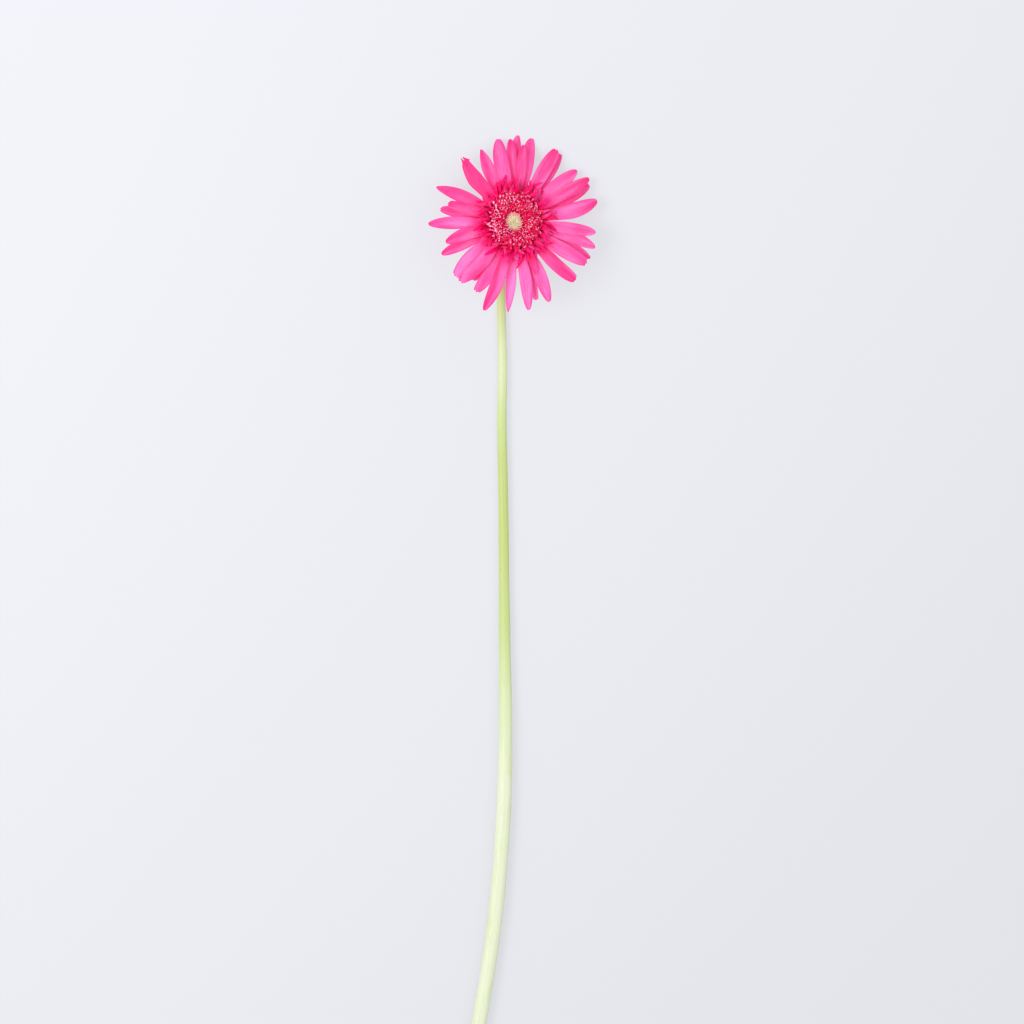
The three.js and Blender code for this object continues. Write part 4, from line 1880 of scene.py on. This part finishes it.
def catmull_rom(knots: Sequence[Vector], steps: int) -> np.ndarray:
    """A smooth line through knots.

    Args:
        knots: the points that it passes through.
        steps: how many pieces to cut each stretch into.

    Returns:
        The line's points.
    """
    points = [np.array(knot) for knot in knots]
    padded = [2 * points[0] - points[1], *points, 2 * points[-1] - points[-2]]
    line = []
    for before, start, end, after in zip(padded, padded[1:], padded[2:], padded[3:]):
        # knot spacing by the square root of distance keeps the line from overshooting
        gaps = [math.sqrt(float(np.linalg.norm(step))) for step in (start - before, end - start, after - end)]
        leave = (start - before) / gaps[0] - (end - before) / (gaps[0] + gaps[1]) + (end - start) / gaps[1]
        arrive = (end - start) / gaps[1] - (after - start) / (gaps[1] + gaps[2]) + (after - end) / gaps[2]
        for share in np.arange(steps) / steps:
            cube, square = share**3, share**2
            line.append((2 * cube - 3 * square + 1) * start + (cube - 2 * square + share) * leave * gaps[1]
                        + (3 * square - 2 * cube) * end + (cube - square) * arrive * gaps[1])
    return np.array([*line, points[-1]])


def weld(piece: bpy.types.Object, distance: float = 0.001) -> None:
    """Joins points that lie on each other.

    Args:
        piece: the object.
        distance: how near they are, in millimetres.
    """
    work = bmesh.new()
    work.from_mesh(piece.data)
    bmesh.ops.remove_doubles(work, verts=work.verts, dist=distance * MM)
    work.to_mesh(piece.data)
    work.free()


# ------------------------------------------------ the studio


@dataclass(frozen=True)
class Lamp:
    """One soft, round, white studio light: where it is, its width and its power in watts."""

    name: str
    place: tuple[float, float, float]
    width: float
    power: float


@dataclass
class Studio:
    """The pale table, the soft lights and the camera."""

    place: HeadPlace
    lens: float = 85.0
    distance: float = 1136.0
    lean_left: float = 8.0
    lean_up: float = 16.9
    aim_below: float = 136.0
    aim_left: float = 0.7
    disc_height: float = 11.0
    far_clip: float = 100.0  # metres
    table_half: float = 4000.0
    sky: Colour = (0.95, 0.965, 1.0, 1.0)
    sky_strength: float = 0.88
    lamps: tuple[Lamp, ...] = (
        Lamp("key_lamp", (-1000.0, 400.0, 1300.0), 800.0, 17.0),
        Lamp("fill_lamp", (900.0, 100.0, 1500.0), 1100.0, 3.0),
    )

    def camera(self) -> None:
        """Stands the camera over the flower, looking down with the head towards the picture's top."""
        left, ahead = (math.tan(math.radians(lean)) for lean in (self.lean_left, self.lean_up))
        back = unit(np.array([-left, ahead, 1.0]))
        up = unit(np.array([0.0, 1.0, 0.0]) - back[1] * back)
        right = np.cross(up, back)
        disc = self.place.origin + self.place.axes[2] * self.disc_height
        eye = disc - right * self.aim_left - up * self.aim_below + back * self.distance
        data = bpy.data.cameras.new("camera")
        data.lens = self.lens
        data.clip_end = self.far_clip
        made = bpy.data.objects.new("camera", data)
        turned = Matrix([right, up, back]).transposed().to_4x4()
        turned.translation = Vector(eye * MM)
        made.matrix_world = turned
        bpy.context.scene.collection.objects.link(made)
        bpy.context.scene.camera = made

    def light(self) -> None:
        """Hangs the lamps and lights the sky."""
        for lamp in self.lamps:
            data = bpy.data.lights.new(lamp.name, "AREA")
            data.shape = "DISK"
            data.size = lamp.width * MM
            data.energy = lamp.power
            made = bpy.data.objects.new(lamp.name, data)
            made.location = Vector(lamp.place) * MM
            made.rotation_euler = (-made.location).to_track_quat("-Z", "Y").to_euler()
            bpy.context.scene.collection.objects.link(made)
        world = bpy.data.worlds.new("sky")
        world.use_nodes = True
        sky = world.node_tree.nodes["Background"].inputs
        sky["Color"].default_value = self.sky
        sky["Strength"].default_value = self.sky_strength
        bpy.context.scene.world = world
        bpy.context.scene.view_settings.view_transform = "Standard"

    def table(self) -> None:
        """Lays the table."""
        half = self.table_half
        corners = np.array([[-half, -half, 0.0], [half, -half, 0.0], [half, half, 0.0], [-half, half, 0.0]])
        draft = Draft()
        draft.add(corners, [[0, 1, 2, 3]])
        draft.build("table", [TableFinish().build()])

    def build(self) -> None:
        """Sets the whole studio up."""
        self.camera()
        self.light()
        self.table()


# ------------------------------------------------ the flower


def corners(box: tuple[Vector, Vector]) -> list[list[float]]:
    """A box's two corners as plain lists of numbers."""
    return [[float(number) for number in corner] for corner in box]


def main() -> None:
    """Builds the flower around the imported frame, sub-assembly by sub-assembly."""
    logging.basicConfig(level=logging.INFO, format="%(name)s: %(message)s")
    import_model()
    place = HeadPlace.from_frame(HEAD_LEAN, RECEPTACLE_DISH)
    Studio(place).build()
    for assembly in (Stem(place), Receptacle(place), BractCup(place), RayWhorl(place), InnerRays(place),
                     DiscFlorets(place), DiscBuds(place)):
        made = assembly.build()
        LOG.info("%s: %d pieces", type(assembly).__name__, len(made))


if __name__ == "__main__":
    main()
